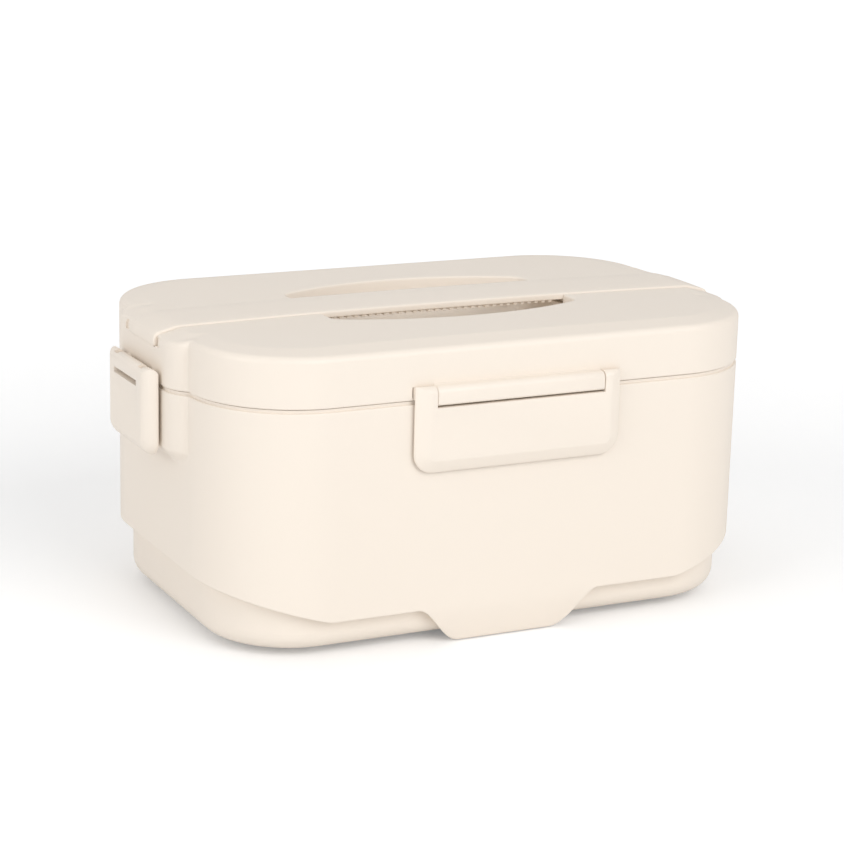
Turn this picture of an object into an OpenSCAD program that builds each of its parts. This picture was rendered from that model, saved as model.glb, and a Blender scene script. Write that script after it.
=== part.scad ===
// Electric lunch box with a hinged lid, three swing latches and a carrying strip.
// Millimetres, +Z up, standing on its feet at z = 0, front towards -Y.

/* [Body] */
// Width of the body across the seam
body_w = 240; // [220:1:280]
// Depth of the body across the seam
body_d = 156; // [146:1:190]
// Radius of the four upright corners
corner_r = 42; // [38:0.5:46]
// Height of the body shell's top edge
body_top = 99.6; // [92:0.2:112]
// Wall of the body shell
body_wall = 2.4; // [2:0.1:2.6]
// Height of the shell's lower edge at the front
edge_z = 15.8; // [13:0.2:18]
// Half width of the level part of the lower edge
edge_flat = 74; // [65:1:85]
// Rise of the lower edge towards the ends, in degrees
edge_rise = 16; // [10:0.5:18]

/* [Front tab] */
// Half width of the tab where it leaves the lower edge
tab_top_half = 40.3; // [36:0.1:50]
// Half width of the tab's foot
tab_foot_half = 20; // [14:0.5:28]
// Height of the tab's foot above the table
tab_z = 0.4; // [0.3:0.1:1.5]
// How far the tab leans in at its foot
tab_lean = 3.2; // [2.6:0.1:4.5]

/* [End pads] */
// How far the end pads stand out from the end walls
pad_reach = 5.8; // [5:0.1:7]
// Full width of an end pad's rounded block
pad_w = 76.8; // [72:0.2:82]
// Radius of an end pad's upright edges
pad_r = 14.4; // [12:0.2:16]
// Height where the pad's sloping underside leaves the end wall
pad_z = 71; // [66:0.5:76]

/* [Base] */
// How far the base stands in from the body wall
base_inset = 5.3; // [5.1:0.1:6.5]
// Height of the base's underside
base_z = 3.1; // [2.8:0.1:4.5]
// Rounding of the base's lower edge
base_round = 7.5; // [6:0.1:9]
// Wall of the base
base_wall = 2.2; // [1.8:0.1:2.6]
// Height of the base's top edge
base_top = 29.5; // [28:0.1:30]
// Radius of the feet
foot_r = 7; // [5:0.5:8.5]
// Half distance between the feet along X
foot_x = 90; // [84:1:94]
// Half distance between the feet along Y
foot_y = 42; // [36:1:44]

/* [Liner and pot] */
// How far the liner's tub stands in from the body wall
tub_inset = 13; // [12.5:0.1:16]
// Height of the tub's floor underside
tub_z = 32; // [31:0.5:36]
// Wall of the tub
tub_wall = 1.8; // [1.5:0.1:2]
// Height of the ledge that carries the pot's rim
ledge_z = 98; // [90:0.2:110]
// Wall of the pot
pot_wall = 0.8; // [0.6:0.1:1.2]
// Gap between the pot and the tub
pot_gap = 2; // [1.5:0.1:4]
// How far the pot's rim reaches over the ledge
pot_rim = 5; // [4:0.1:5.5]

/* [Heater] */
// Width of the heating plate
plate_w = 184; // [170:1:190]
// Depth of the heating plate
plate_d = 98; // [88:1:104]
// Thickness of the heating plate
plate_t = 2; // [1.5:0.1:3]
// Radius of the heating ring's middle line
ring_r = 24; // [20:0.5:28]
// Half length of the heating ring's straight runs
ring_run = 38; // [30:1:44]

/* [Power inlet] */
// Height of the inlet's middle
inlet_z = 18.6; // [18.3:0.1:18.7]
// Width of the inlet's housing
inlet_w = 22; // [20:0.5:26]
// Height of the inlet's housing
inlet_h = 12; // [11:0.5:12]
// Depth of the inlet's housing
inlet_depth = 21; // [18:0.5:24]
// Distance between the two inlet pins
pin_pitch = 8.6; // [8:0.1:9]
// Radius of the inlet pins
inlet_pin_r = 1.2; // [1:0.1:1.3]

/* [Lid] */
// Gap between the body shell and the lid at the seam
seam_gap = 1.5; // [1.3:0.1:2.5]
// Height of the lid above its lower edge at the middle
lid_h = 22; // [21.8:0.2:25]
// Height of the lid's upright wall
lid_side_h = 17.4; // [16.8:0.1:17.6]
// Rounding of the lid's top edge
lid_round = 3; // [2:0.1:3.5]
// Wall of the lid
lid_wall = 2.4; // [2:0.1:2.6]
// Half width of the finger well
well_half = 55; // [48:1:60]
// Half depth of the finger well at its middle
well_reach = 38.8; // [34:0.2:44]
// Radius of the finger well's long edges
well_arc_r = 130; // [120:1:160]
// Depth of the finger well's floor below the lid's top
well_depth = 16; // [15:0.2:17]

/* [Carrying strip] */
// Width of the carrying strip
strip_w = 28.8; // [24:0.2:34]
// Height of the strip's crown above the lid's top
strip_proud = 0.95; // [0.6:0.05:1.5]
// Fall of the strip from its middle towards its ends
strip_fall = 1.2; // [0.8:0.05:1.6]
// Thickness of the strip over the finger well
strip_t = 3.2; // [2.6:0.1:3.6]
// How far the strip's ends stand out from the end pads
strip_end_proud = 0.6; // [0.4:0.1:1.2]
// How far the strip's ends reach down below the lid's wall top
strip_leg = 3.4; // [1:0.1:5]
// Distance between the grip's ribs
rib_pitch = 3.3; // [2.8:0.1:5]

/* [Front latch] */
// Width of the front latch at its back
latch_w = 90; // [80:1:110]
// Height of the front latch's foot below the latch's hinge
latch_drop = 31.7; // [24:0.1:36]
// Distance of the front latch's outer face from the body wall
latch_proud = 4.8; // [4.5:0.1:5.5]
// Length of the barrel between the latch's ears
barrel_len = 73.2; // [60:0.2:80]
// Radius of the latch barrel
barrel_r = 2.7; // [2.5:0.1:2.8]
// Radius of the latch pins
latch_pin_r = 1; // [0.8:0.1:1.2]

/* [Side latches] */
// Width of a side latch at its back
side_latch_w = 45; // [40:0.5:52]
// Height of a side latch's foot below its hinge
side_drop = 32; // [26:0.5:36]
// Thickness of a side latch and its gap, from the pad outwards
side_proud = 7.2; // [7:0.1:8]
// Width of the slot in a side latch
slot_w = 25.6; // [20:0.2:30]

/* [Lid hinge] */
// Radius of the hinge knuckles
knuckle_r = 3.4; // [3.2:0.1:3.6]
// Radius of the hinge pins
hinge_pin_r = 1.5; // [1.2:0.1:1.7]
// Distance of the hinge groups from the middle
hinge_x = 48; // [40:1:60]

/* [Fits] */
// Clearance between pieces that move past each other
clear = 0.3; // [0.3:0.05:0.4]
// Radial clearance of a turning pin
run_fit = 0.06; // [0.03:0.01:0.1]
// Gap between a latch and the wall behind it
latch_gap = 1.3; // [1.3:0.1:1.5]

/* [Hidden] */
$fn = 96;

shell_color = "#F3EADC";
liner_color = "#EAE6DE";
steel_color = "#C9CCCE";
dark_color = "#3A3A3C";
seal_color = "#DDD8CF";
far = 400;
eps = 0.02;

// Body levels
lid_z = body_top + seam_gap;
lid_side_top = lid_z + lid_side_h;
lid_top = lid_z + lid_h;
lean_top = edge_z + 0.2;

// Liner and pot
flange_inset = 1;
flange_t = 1.2;
riser_inset = 5;
ledge_t = 1.8;
tub_floor_t = 2;
tub_r = corner_r - tub_inset;
tub_w = body_w - 2 * tub_inset;
tub_d = body_d - 2 * tub_inset;
plate_r = 24;
plate_seat = 4;
plate_z = tub_z + tub_floor_t;
pot_inset = tub_inset + tub_wall + pot_gap;
pot_z = plate_z + plate_t + clear;
pot_w = body_w - 2 * pot_inset;
pot_d = body_d - 2 * pot_inset;
pot_r = corner_r - pot_inset;
pot_round = 6;

// Screws
screw_r = 1.5;
screw_head_r = 2.9;
screw_head_h = 2;
boss_r = 4;
base_screw_x = 70;
base_screw_y = tub_d / 2 - 10;
base_screw_head_z = base_z + base_wall + 2;
post_z = base_top - 3;
foot_recess = 1;

// Heater
ring_w = 7;
ring_t = 3.4;
ring_z = plate_z - ring_t;
clamp_t = 1;
clamp_z = ring_z - clamp_t;
pad_t = 4;
pad_edge_w = 17;
pad_edge_d = 11;
pad_soft_r = 14;
thermostat_r = 9;
thermostat_h = 5;
thermostat_tab = 6;
thermostat_tab_t = 0.8;
fuse_r = 2.1;
fuse_len = 12;

// Inlet
base_half_w = body_w / 2 - base_inset;
inlet_wall = 2;
inlet_flange = 1.2;
inlet_x = base_half_w - inlet_depth;
inlet_pin_len = 12;
wire_r = 0.9;
lead_x = 24;
lead_y = 14;

// Lid
band_w = 8.2;
band_h = 1.8;
crown_r = 4800;
end_drop = 0.9;
end_round = 2.6;
well_floor_z = lid_top - well_depth;
well_wall = 2;
inner_lid_gap = 0.5;
inner_lid_t = 1.8;
inner_lid_z = lid_z + inner_lid_gap;
gasket_w = 4;
gasket_inset = (tub_inset - 5 + tub_inset) / 2 - gasket_w / 2;
gasket_z = ledge_z + pot_wall + clear;
lid_screw_x = body_w / 2 - 23;
lid_screw_y = body_d / 2 - 42;
lid_screw_head = 1.4;
lid_screw_len = 12;
vent_x = 62;
vent_y = 30;
vent_r = 6;

// Strip
strip_top = lid_top + strip_proud;
strip_seat = lid_top - 4.4;
strip_end = body_w / 2 + pad_reach + strip_end_proud;
strip_corner = 3;
strip_bend = body_w / 2 - 3.5;
strip_slope = 0.26;
strip_leg_t = 1.8;
strip_leg_z = lid_side_top - strip_leg;
strip_half = strip_w / 2;
notch_w = 4;
notch_h = 4;
strip_screw_out = body_w / 2 - 16;
strip_screw_in = well_half + 19;
strip_screw_x = [-strip_screw_out, -strip_screw_in, strip_screw_in, strip_screw_out];
small_head_r = 2.6;
small_screw_r = 1.25;
strip_screw_head = 1.6;
strip_screw_len = 4.4;
grip_half = well_half - 7;
grip_t = 0.7;
grip_rib_h = 0.9;
grip_rib_w = 1.6;

// Front latch
latch_y = -(body_d / 2 + latch_proud);
ear_r = 2.8;
latch_axis_y = latch_y + ear_r;
latch_axis_z = lid_z + 3;
latch_back = -(body_d / 2 + latch_gap);
latch_half = latch_w / 2;
ear_in = barrel_len / 2 + clear;
latch_foot_z = latch_axis_z - latch_drop;
latch_plate_top = latch_axis_z - barrel_r - 2.8;
barrel_drop = 4.75;
barrel_soft = 1.2;
latch_corner = 8;
latch_bevel = 5;
latch_bevel_h = 2.8;
catch_reach = latch_gap - clear;
catch_drop = 10.1;
catch_h = 2;
recess_t = 1.2;

// Side latches
pad_x = body_w / 2 + pad_reach;
side_face = pad_x + side_proud;
side_back = pad_x + latch_gap;
side_axis_x = pad_x + 4.2;
side_axis_z = lid_z + 3.3;
side_top_z = side_axis_z + 3.2;
side_foot_z = side_axis_z - side_drop;
side_swing_r = 3.9;
side_bevel = 5;
side_bevel_h = 5;
slot_z = lid_z - 0.5;
slot_h = 2.3;
lug_y = 13.8;
lug_t = 3.5;
lug_r = 2.1;

// Lid hinge
hinge_y = body_d / 2 + latch_proud - knuckle_r;
hinge_z = body_top + seam_gap / 2;
knuckle_clear = 0.4;
lid_knuckle = 13.2;
body_knuckle = 8;

// Height of the tab's curved side at share t of its width, eased at both ends
function ease(t) = t * t * (3 - 2 * t);

// How far the tab leans in at height z
function lean(z) = z >= lean_top ? 0 : tab_lean * pow((lean_top - z) / (lean_top - tab_z), 1.4);

// Right half of the shell's lower edge in the front view, from the middle outwards
edge_points = concat(
    [[0, tab_z]],
    [for (i = [0 : 12]) let (t = i / 12)
        [tab_foot_half + t * (tab_top_half - tab_foot_half), tab_z + ease(pow(t, 1.15)) * (edge_z - tab_z)]],
    [for (i = [0 : 6]) let (a = edge_rise * i / 6)
        [edge_flat + 18 * (sin(a)), edge_z + 18 * (1 - cos(a))]],
    [[edge_flat + 18 * sin(edge_rise) + 70 * cos(edge_rise),
      edge_z + 18 * (1 - cos(edge_rise)) + 70 * sin(edge_rise)]]);

// Height of the strip's top at x
function strip_z(x) = strip_top - strip_fall * pow(x / (body_w / 2), 2);

module rounded(w, d, r) {
    square([w - 2 * r, d], center = true);
    square([w, d - 2 * r], center = true);
    for (sx = [-1, 1], sy = [-1, 1])
        translate([sx * (w / 2 - r), sy * (d / 2 - r)]) circle(r);
}

// The body's outline, drawn in by inset, without the end pads
module plain_outline(inset) {
    rounded(body_w - 2 * inset, body_d - 2 * inset, corner_r - inset);
}

module pad_outline(inset) {
    rounded(body_w + 2 * pad_reach - 2 * inset, pad_w - 2 * inset, pad_r - inset);
}

module full_outline(inset) {
    plain_outline(inset);
    pad_outline(inset);
}

// A block from z to far above it, seen in the front view, above the shell's lower edge
module above_edge(up) {
    right = [for (p = edge_points) [p[0], p[1] + up]];
    left = [for (i = [len(right) - 1 : -1 : 1]) [-right[i][0], right[i][1]]];
    last = right[len(right) - 1][0];
    translate([0, far / 2, 0])
        rotate([90, 0, 0])
            linear_extrude(far)
                polygon(concat([[-last, far]], left, right, [[last, far]]));
}

// Everything behind the leaning tab's face, drawn in by inset
module inside_lean(inset) {
    levels = [for (i = [0 : 8]) tab_z - 1 + (lean_top - tab_z + 1) * i / 8];
    half = body_d / 2 - inset;
    front = [for (i = [len(levels) - 1 : -1 : 0]) [-(half - lean(max(levels[i], tab_z))), levels[i]]];
    back = [for (z = levels) [half - lean(max(z, tab_z)), z]];
    translate([-far / 2, 0, 0])
        rotate([90, 0, 90])
            linear_extrude(far)
                polygon(concat([[-half, far]], front, back, [[half, far]]));
}

// The pads' part below their sloping undersides
module under_pads() {
    for (s = [-1, 1])
        scale([s, 1, 1])
            translate([0, far / 2, 0])
                rotate([90, 0, 0])
                    linear_extrude(far)
                        polygon([[body_w / 2 - 0.2, -1], [far, -1], [far, pad_z + far - body_w / 2],
                                 [body_w / 2 - 0.2, pad_z - 0.2]]);
}

// A slab on z = 0 with a rounded lower edge
module soft_slab(w, d, r, h, f) {
    module side(p) {
        translate([-p, f]) square([2 * p, h - f]);
        translate([-(p - f), 0]) square([2 * (p - f), f + eps]);
        for (s = [-1, 1]) translate([s * (p - f), f]) circle(f);
    }
    translate([-(w / 2 - r), 0, 0]) rotate([90, 0, 90]) linear_extrude(w - 2 * r) side(d / 2);
    translate([0, d / 2 - r, 0]) rotate([90, 0, 0]) linear_extrude(d - 2 * r) side(w / 2);
    for (sx = [-1, 1], sy = [-1, 1])
        translate([sx * (w / 2 - r), sy * (d / 2 - r), 0])
            rotate_extrude()
                intersection() {
                    side(r);
                    square([far, far]);
                }
}

// A slab on z = 0 whose sides lean in by c over its height
module taper_slab(w, d, r, h, c) {
    translate([-(w / 2 - r), 0, 0])
        rotate([90, 0, 90])
            linear_extrude(w - 2 * r)
                polygon([[-d / 2, 0], [d / 2, 0], [d / 2 - c, h], [-d / 2 + c, h]]);
    translate([0, d / 2 - r, 0])
        rotate([90, 0, 0])
            linear_extrude(d - 2 * r)
                polygon([[-w / 2, 0], [w / 2, 0], [w / 2 - c, h], [-w / 2 + c, h]]);
    for (sx = [-1, 1], sy = [-1, 1])
        translate([sx * (w / 2 - r), sy * (d / 2 - r), 0]) cylinder(h = h, r1 = r, r2 = r - c);
}

// A cylinder along X from x0 to x1
module along_x(x0, x1, y, z, r) {
    translate([x0, y, z]) rotate([0, 90, 0]) cylinder(h = x1 - x0, r = r);
}

// A cylinder along Y from y0 to y1
module along_y(y0, y1, x, z, r) {
    translate([x, y0, z]) rotate([-90, 0, 0]) cylinder(h = y1 - y0, r = r);
}

module block(x0, x1, y0, y1, z0, z1) {
    translate([x0, y0, z0]) cube([x1 - x0, y1 - y0, z1 - z0]);
}

// Body

module hinge_places() {
    for (s = [-1, 1]) translate([s * hinge_x, 0, 0]) children();
}

// Both body knuckles of one hinge group, or their whole span
module body_knuckles(grow) {
    half = lid_knuckle / 2 + knuckle_clear;
    for (s = [-1, 1]) {
        x0 = s < 0 ? -half - body_knuckle : half;
        along_x(x0 - grow, x0 + body_knuckle + grow, hinge_y, hinge_z, knuckle_r + grow);
    }
}

module body_shell() {
    half = lid_knuckle / 2 + knuckle_clear;
    color(shell_color)
        difference() {
            union() {
                difference() {
                    intersection() {
                        union() {
                            translate([0, 0, tab_z]) linear_extrude(body_top - tab_z) plain_outline(0);
                            difference() {
                                translate([0, 0, pad_z - 1])
                                    linear_extrude(body_top - pad_z + 1) pad_outline(0);
                                under_pads();
                            }
                        }
                        above_edge(0);
                        inside_lean(0);
                    }
                    intersection() {
                        union() {
                            translate([0, 0, -1]) linear_extrude(far) plain_outline(body_wall);
                            difference() {
                                translate([0, 0, pad_z + pad_reach + body_wall])
                                    linear_extrude(far) pad_outline(body_wall);
                            }
                        }
                        inside_lean(body_wall);
                    }
                }
                // Return lip that closes the lower edge against the base
                intersection() {
                    difference() {
                        above_edge(0);
                        above_edge(body_wall);
                    }
                    inside_lean(0);
                    translate([0, 0, 0.5])
                        linear_extrude(base_top)
                            difference() {
                                plain_outline(body_wall - eps);
                                plain_outline(base_inset - clear);
                            }
                }
                // Catch ribs under the latches
                block(-30, 30, -body_d / 2 - catch_reach, -body_d / 2 + 1,
                      latch_axis_z - catch_drop - catch_h, latch_axis_z - catch_drop);
                for (s = [-1, 1])
                    scale([s, 1, 1])
                        block(pad_x - 1, pad_x + catch_reach, -10, 10,
                              side_axis_z - catch_drop - 2 - catch_h, side_axis_z - catch_drop - 2);
                // Hinge knuckles with their webs
                hinge_places()
                    difference() {
                        union() {
                            body_knuckles(0);
                            for (s = [-1, 1]) {
                                x0 = s < 0 ? -half - body_knuckle : half;
                                block(x0, x0 + body_knuckle, body_d / 2 - 1, hinge_y + 2,
                                      hinge_z - 9, hinge_z);
                            }
                        }
                        translate([0, 0, 0])
                            block(-half - body_knuckle - 1, half + body_knuckle + 1,
                                  0, body_d / 2 - body_wall - eps, hinge_z - 20, hinge_z + 20);
                    }
            }
            hinge_places() {
                along_x(-half - body_knuckle - 1, half + body_knuckle + 1, hinge_y, hinge_z, hinge_pin_r);
                along_x(-half, half, hinge_y, hinge_z, knuckle_r + knuckle_clear);
            }
        }
}

module base_screw_places() {
    for (x = [-base_screw_x, 0, base_screw_x], s = [-1, 1])
        translate([x, s * base_screw_y, 0]) children();
}

module foot_places() {
    for (sx = [-1, 1], sy = [-1, 1]) translate([sx * foot_x, sy * foot_y, 0]) children();
}

module base_tray() {
    w = body_w - 2 * base_inset;
    d = body_d - 2 * base_inset;
    r = corner_r - base_inset;
    color(shell_color)
        difference() {
            union() {
                difference() {
                    translate([0, 0, base_z]) soft_slab(w, d, r, base_top - base_z, base_round);
                    translate([0, 0, base_z + base_wall])
                        soft_slab(w - 2 * base_wall, d - 2 * base_wall, r - base_wall, far,
                                  base_round - base_wall);
                }
                base_screw_places()
                    translate([0, 0, base_z + 0.5]) cylinder(h = post_z - clear - base_z - 0.5, r = boss_r);
                foot_places() translate([0, 0, base_z + 0.5]) cylinder(h = base_wall + 1, r = foot_r + 1.5);
            }
            base_screw_places() {
                cylinder(h = far, r = screw_r + 0.2);
                translate([0, 0, -1]) cylinder(h = base_screw_head_z + 1, r = screw_head_r + 0.3);
            }
            foot_places() translate([0, 0, -1]) cylinder(h = base_z + foot_recess + 1, r = foot_r + 0.2);
            translate([base_half_w - 6, 0, inlet_z])
                rotate([90, 0, 90]) linear_extrude(20) rounded(inlet_w + 0.2, inlet_h + 0.2, 4.1);
        }
}

module rubber_feet() {
    color(dark_color)
        foot_places()
            difference() {
                union() {
                    cylinder(h = base_z + foot_recess, r = foot_r);
                }
                translate([0, 0, -1]) cylinder(h = 2, r = foot_r * 0.45);
            }
}

module base_screws() {
    color(steel_color)
        base_screw_places()
            difference() {
                union() {
                    translate([0, 0, base_screw_head_z - screw_head_h])
                        cylinder(h = screw_head_h, r = screw_head_r);
                    translate([0, 0, base_screw_head_z - eps])
                        cylinder(h = tub_z - base_screw_head_z - 1, r = screw_r);
                }
                for (a = [0, 90])
                    translate([0, 0, base_screw_head_z - screw_head_h])
                        rotate([0, 0, a]) cube([3.2, 0.8, 2], center = true);
            }
}

module inner_liner() {
    rim_half = lid_knuckle / 2 + knuckle_clear + body_knuckle + knuckle_clear;
    color(liner_color)
        difference() {
            union() {
                // Rim on the shell's top edge
                translate([0, 0, body_top])
                    linear_extrude(flange_t)
                        difference() {
                            full_outline(flange_inset);
                            plain_outline(riser_inset);
                        }
                translate([0, 0, ledge_z - ledge_t])
                    linear_extrude(body_top - ledge_z + ledge_t + eps)
                        difference() {
                            plain_outline(body_wall + 0.6);
                            plain_outline(riser_inset);
                        }
                translate([0, 0, ledge_z - ledge_t])
                    linear_extrude(ledge_t)
                        difference() {
                            plain_outline(riser_inset - eps);
                            rounded(tub_w - 2 * tub_wall, tub_d - 2 * tub_wall, tub_r - tub_wall);
                        }
                // Tub
                difference() {
                    translate([0, 0, tub_z]) linear_extrude(ledge_z - ledge_t + eps - tub_z)
                        rounded(tub_w, tub_d, tub_r);
                    translate([0, 0, plate_z]) linear_extrude(far)
                        rounded(tub_w - 2 * tub_wall, tub_d - 2 * tub_wall, tub_r - tub_wall);
                    translate([0, 0, -1]) linear_extrude(far)
                        rounded(plate_w - 2 * plate_seat, plate_d - 2 * plate_seat, plate_r - plate_seat);
                }
                base_screw_places() translate([0, 0, post_z]) cylinder(h = tub_z + 1 - post_z, r = boss_r);
            }
            base_screw_places() translate([0, 0, -1]) cylinder(h = tub_z, r = screw_r);
            hinge_places()
                along_x(-rim_half, rim_half, hinge_y, hinge_z, knuckle_r + knuckle_clear);
        }
}

// Heater

module heating_plate() {
    color(steel_color)
        translate([0, 0, plate_z]) linear_extrude(plate_t) rounded(plate_w, plate_d, plate_r);
}

// A flat racetrack ring around the origin
module racetrack(r, run, w, t) {
    linear_extrude(t)
        difference() {
            rounded(2 * (run + r) + w, 2 * r + w, r + w / 2 - eps);
            rounded(2 * (run + r) - w, 2 * r - w, r - w / 2 - eps);
        }
}

module heating_ring() {
    color("#8E8A86") translate([0, 0, ring_z]) racetrack(ring_r, ring_run, ring_w, ring_t);
}

module heater_clamp() {
    reach = plate_w / 2 - plate_seat - 2;
    color(steel_color)
        difference() {
            union() {
                for (s = [-1, 1])
                    translate([s * (ring_run + 6), 0, clamp_z + clamp_t / 2])
                        cube([14, 2 * (ring_r + 16), clamp_t], center = true);
                for (s = [-1, 1], e = [-1, 1])
                    translate([s * (ring_run + 6), e * (ring_r + 13), clamp_z])
                        cylinder(h = plate_z - clamp_z, r = 3);
            }
            for (s = [-1, 1], e = [-1, 1])
                translate([s * (ring_run + 6), e * (ring_r + 13), 0]) cylinder(h = plate_z - 1.2, r = 1.2);
        }
}

module insulation_pad() {
    color("#EFEFEA")
        difference() {
            translate([0, 0, clamp_z - pad_t]) linear_extrude(pad_t)
                rounded(plate_w - 2 * pad_edge_w, plate_d - 2 * pad_edge_d, pad_soft_r);
            translate([0, 0, -1]) cylinder(h = far, r = thermostat_r + 2);
            // Ways for the ring's and the fuse's leads
            translate([ring_run + ring_r - 3, -lead_y, -1]) cylinder(h = far, r = 3.2);
            translate([-lead_x, ring_r + 12, -1]) cylinder(h = far, r = 3);
        }
}

module thermostat() {
    color(dark_color) {
        translate([0, 0, plate_z - thermostat_h]) cylinder(h = thermostat_h, r = thermostat_r);
        for (s = [-1, 1])
            translate([s * thermostat_tab - thermostat_tab_t / 2, -thermostat_tab / 2,
                       plate_z - thermostat_h - thermostat_tab])
                cube([thermostat_tab_t, thermostat_tab, thermostat_tab + eps]);
    }
}

module thermal_fuse() {
    color("#D8D2C8") {
        along_x(-fuse_len / 2, fuse_len / 2, ring_r + 11, plate_z - fuse_r - 0.2, fuse_r);
        block(-2, 2, ring_r + 11 - 3, ring_r + 11 + 3, plate_z - 0.9, plate_z);
    }
}

// Power inlet

module power_inlet() {
    color(dark_color)
        difference() {
            union() {
                translate([inlet_x, 0, inlet_z])
                    rotate([90, 0, 90]) linear_extrude(inlet_depth) rounded(inlet_w, inlet_h, 4);
                translate([base_half_w, 0, inlet_z])
                    rotate([90, 0, 90]) linear_extrude(inlet_flange) rounded(inlet_w + 4, inlet_h + 2, 5);
            }
            // Socket for a two-pole plug
            translate([inlet_x + inlet_wall, 0, inlet_z])
                rotate([90, 0, 90])
                    linear_extrude(far)
                        rounded(pin_pitch + 7.4, inlet_h - 2 * inlet_wall, inlet_h / 2 - inlet_wall - 0.2);
            for (s = [-1, 1])
                along_x(inlet_x - 1, inlet_x + inlet_wall + 1, s * pin_pitch / 2, inlet_z, inlet_pin_r);
        }
}

module inlet_pins() {
    color(steel_color)
        for (s = [-1, 1]) {
            along_x(inlet_x - 4, inlet_x + inlet_wall + inlet_pin_len, s * pin_pitch / 2, inlet_z, inlet_pin_r);
        }
}

// One side of a flat lead's outline
function lead_side(points, off) = [for (i = [0 : len(points) - 1])
    let (d = points[min(i + 1, len(points) - 1)] - points[max(i - 1, 0)])
        points[i] + off * [-d[1], d[0]] / norm(d)];

// A lead along the floor, with an upright end at each given point
module lead(points, ends) {
    floor_z = base_z + base_wall + 3;
    other = lead_side(points, -wire_r);
    translate([0, 0, floor_z])
        linear_extrude(2 * wire_r)
            polygon(concat(lead_side(points, wire_r), [for (i = [len(other) - 1 : -1 : 0]) other[i]]));
    for (e = ends) translate([e[0], e[1], floor_z]) cylinder(h = e[2] - floor_z, r = wire_r - 0.05);
}

module inner_wires() {
    start_x = inlet_x - 4 - wire_r;
    tab_z = plate_z - thermostat_h - thermostat_tab;
    ring_x = ring_run + ring_r - 3;
    fuse_y = ring_r + 11;
    fuse_z = plate_z - fuse_r - 0.2;
    py = pin_pitch / 2;
    color("#B3372E") {
        lead([[start_x + 0.8, py], [start_x * 0.68, inlet_w * 0.9], [2 * thermostat_tab, 3], [thermostat_tab - 1, 1]],
             [[start_x, py, inlet_z + 1], [thermostat_tab, 1.2, tab_z]]);
        lead([[start_x + 0.8, -py], [start_x * 0.86, -inlet_w * 0.8], [ring_x + 3, -inlet_w * 0.9],
              [ring_x - 1, -lead_y + 1.2]],
             [[start_x, -py, inlet_z + 1], [ring_x, -lead_y, ring_z]]);
        lead([[-thermostat_tab + 1, 1], [-2 * thermostat_tab, fuse_y * 0.35], [-3 * thermostat_tab, fuse_y * 0.8],
              [-lead_x - 0.8, fuse_y + 0.6]],
             [[-thermostat_tab, 2, tab_z], [-lead_x, fuse_y, fuse_z + 1]]);
        along_x(-lead_x, -fuse_len / 2, fuse_y, fuse_z, wire_r - 0.3);
    }
}

// Inner pot

module inner_pot() {
    rim_w = pot_w + 2 * (pot_gap + tub_wall + pot_rim);
    rim_d = pot_d + 2 * (pot_gap + tub_wall + pot_rim);
    rim_r = pot_r + pot_gap + tub_wall + pot_rim;
    color(steel_color)
        difference() {
            union() {
                translate([0, 0, pot_z])
                    soft_slab(pot_w, pot_d, pot_r, ledge_z + pot_wall - pot_z, pot_round);
                translate([0, 0, ledge_z]) linear_extrude(pot_wall) rounded(rim_w, rim_d, rim_r);
            }
            translate([0, 0, pot_z + pot_wall])
                soft_slab(pot_w - 2 * pot_wall, pot_d - 2 * pot_wall, pot_r - pot_wall, far,
                          pot_round - pot_wall);
        }
}

// Lid

// A long roll whose top falls gently from the middle towards both ends
module crown(top) {
    translate([0, body_d / 2 + 10, top - crown_r])
        rotate([90, 0, 0]) cylinder(h = body_d + 20, r = crown_r, $fn = 1440);
}

// The lid's outer form, drawn in and lowered by inset
module lid_form(inset) {
    w = body_w - 2 * inset;
    d = body_d - 2 * inset;
    r = corner_r - inset;
    c = lid_round;
    shoulder = lid_side_top - inset + lid_round;
    // Upright wall with a rounded top edge
    translate([0, 0, shoulder]) mirror([0, 0, 1])
        soft_slab(w, d, r, shoulder - lid_z + 1, lid_round);
    translate([0, 0, shoulder - end_drop]) mirror([0, 0, 1])
        soft_slab(w + 2 * pad_reach, pad_w - 2 * inset, pad_r - inset, shoulder - lid_z + 0.5, end_round);
    // Sloping margin below a wide crown that falls towards the ends
    intersection() {
        union() {
            translate([0, 0, shoulder - eps])
                taper_slab(w - 2 * c, d - 2 * c, r - c, band_h, band_w);
            translate([0, 0, shoulder])
                linear_extrude(10) rounded(w - 2 * c - 2 * band_w, d - 2 * c - 2 * band_w, r - c - band_w);
        }
        crown(lid_top - inset);
    }
}

// Plan of the finger well, drawn in by inset
module well_outline(inset) {
    off = well_arc_r - well_reach;
    intersection() {
        translate([0, -off]) circle(well_arc_r - inset, $fn = 360);
        translate([0, off]) circle(well_arc_r - inset, $fn = 360);
        rounded(2 * (well_half - inset), 4 * well_reach, 10);
    }
}

// Seat for the carrying strip, wider and deeper by grow
module strip_room(grow) {
    half = strip_half + grow;
    block(-body_w / 2 + 1, body_w / 2 - 1, -half, half, strip_seat, far);
    for (s = [-1, 1])
        scale([s, 1, 1]) {
            block(body_w / 2 - 2, pad_x + 10, -half, half, strip_seat + 1, far);
            block(strip_end - strip_leg_t, pad_x + 10, -half, half, strip_leg_z - grow, far);
            block(strip_end - strip_leg_t, pad_x + 10, -half - notch_w, half + notch_w,
                  strip_leg_z + grow, strip_leg_z + notch_h);
        }
}

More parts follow.
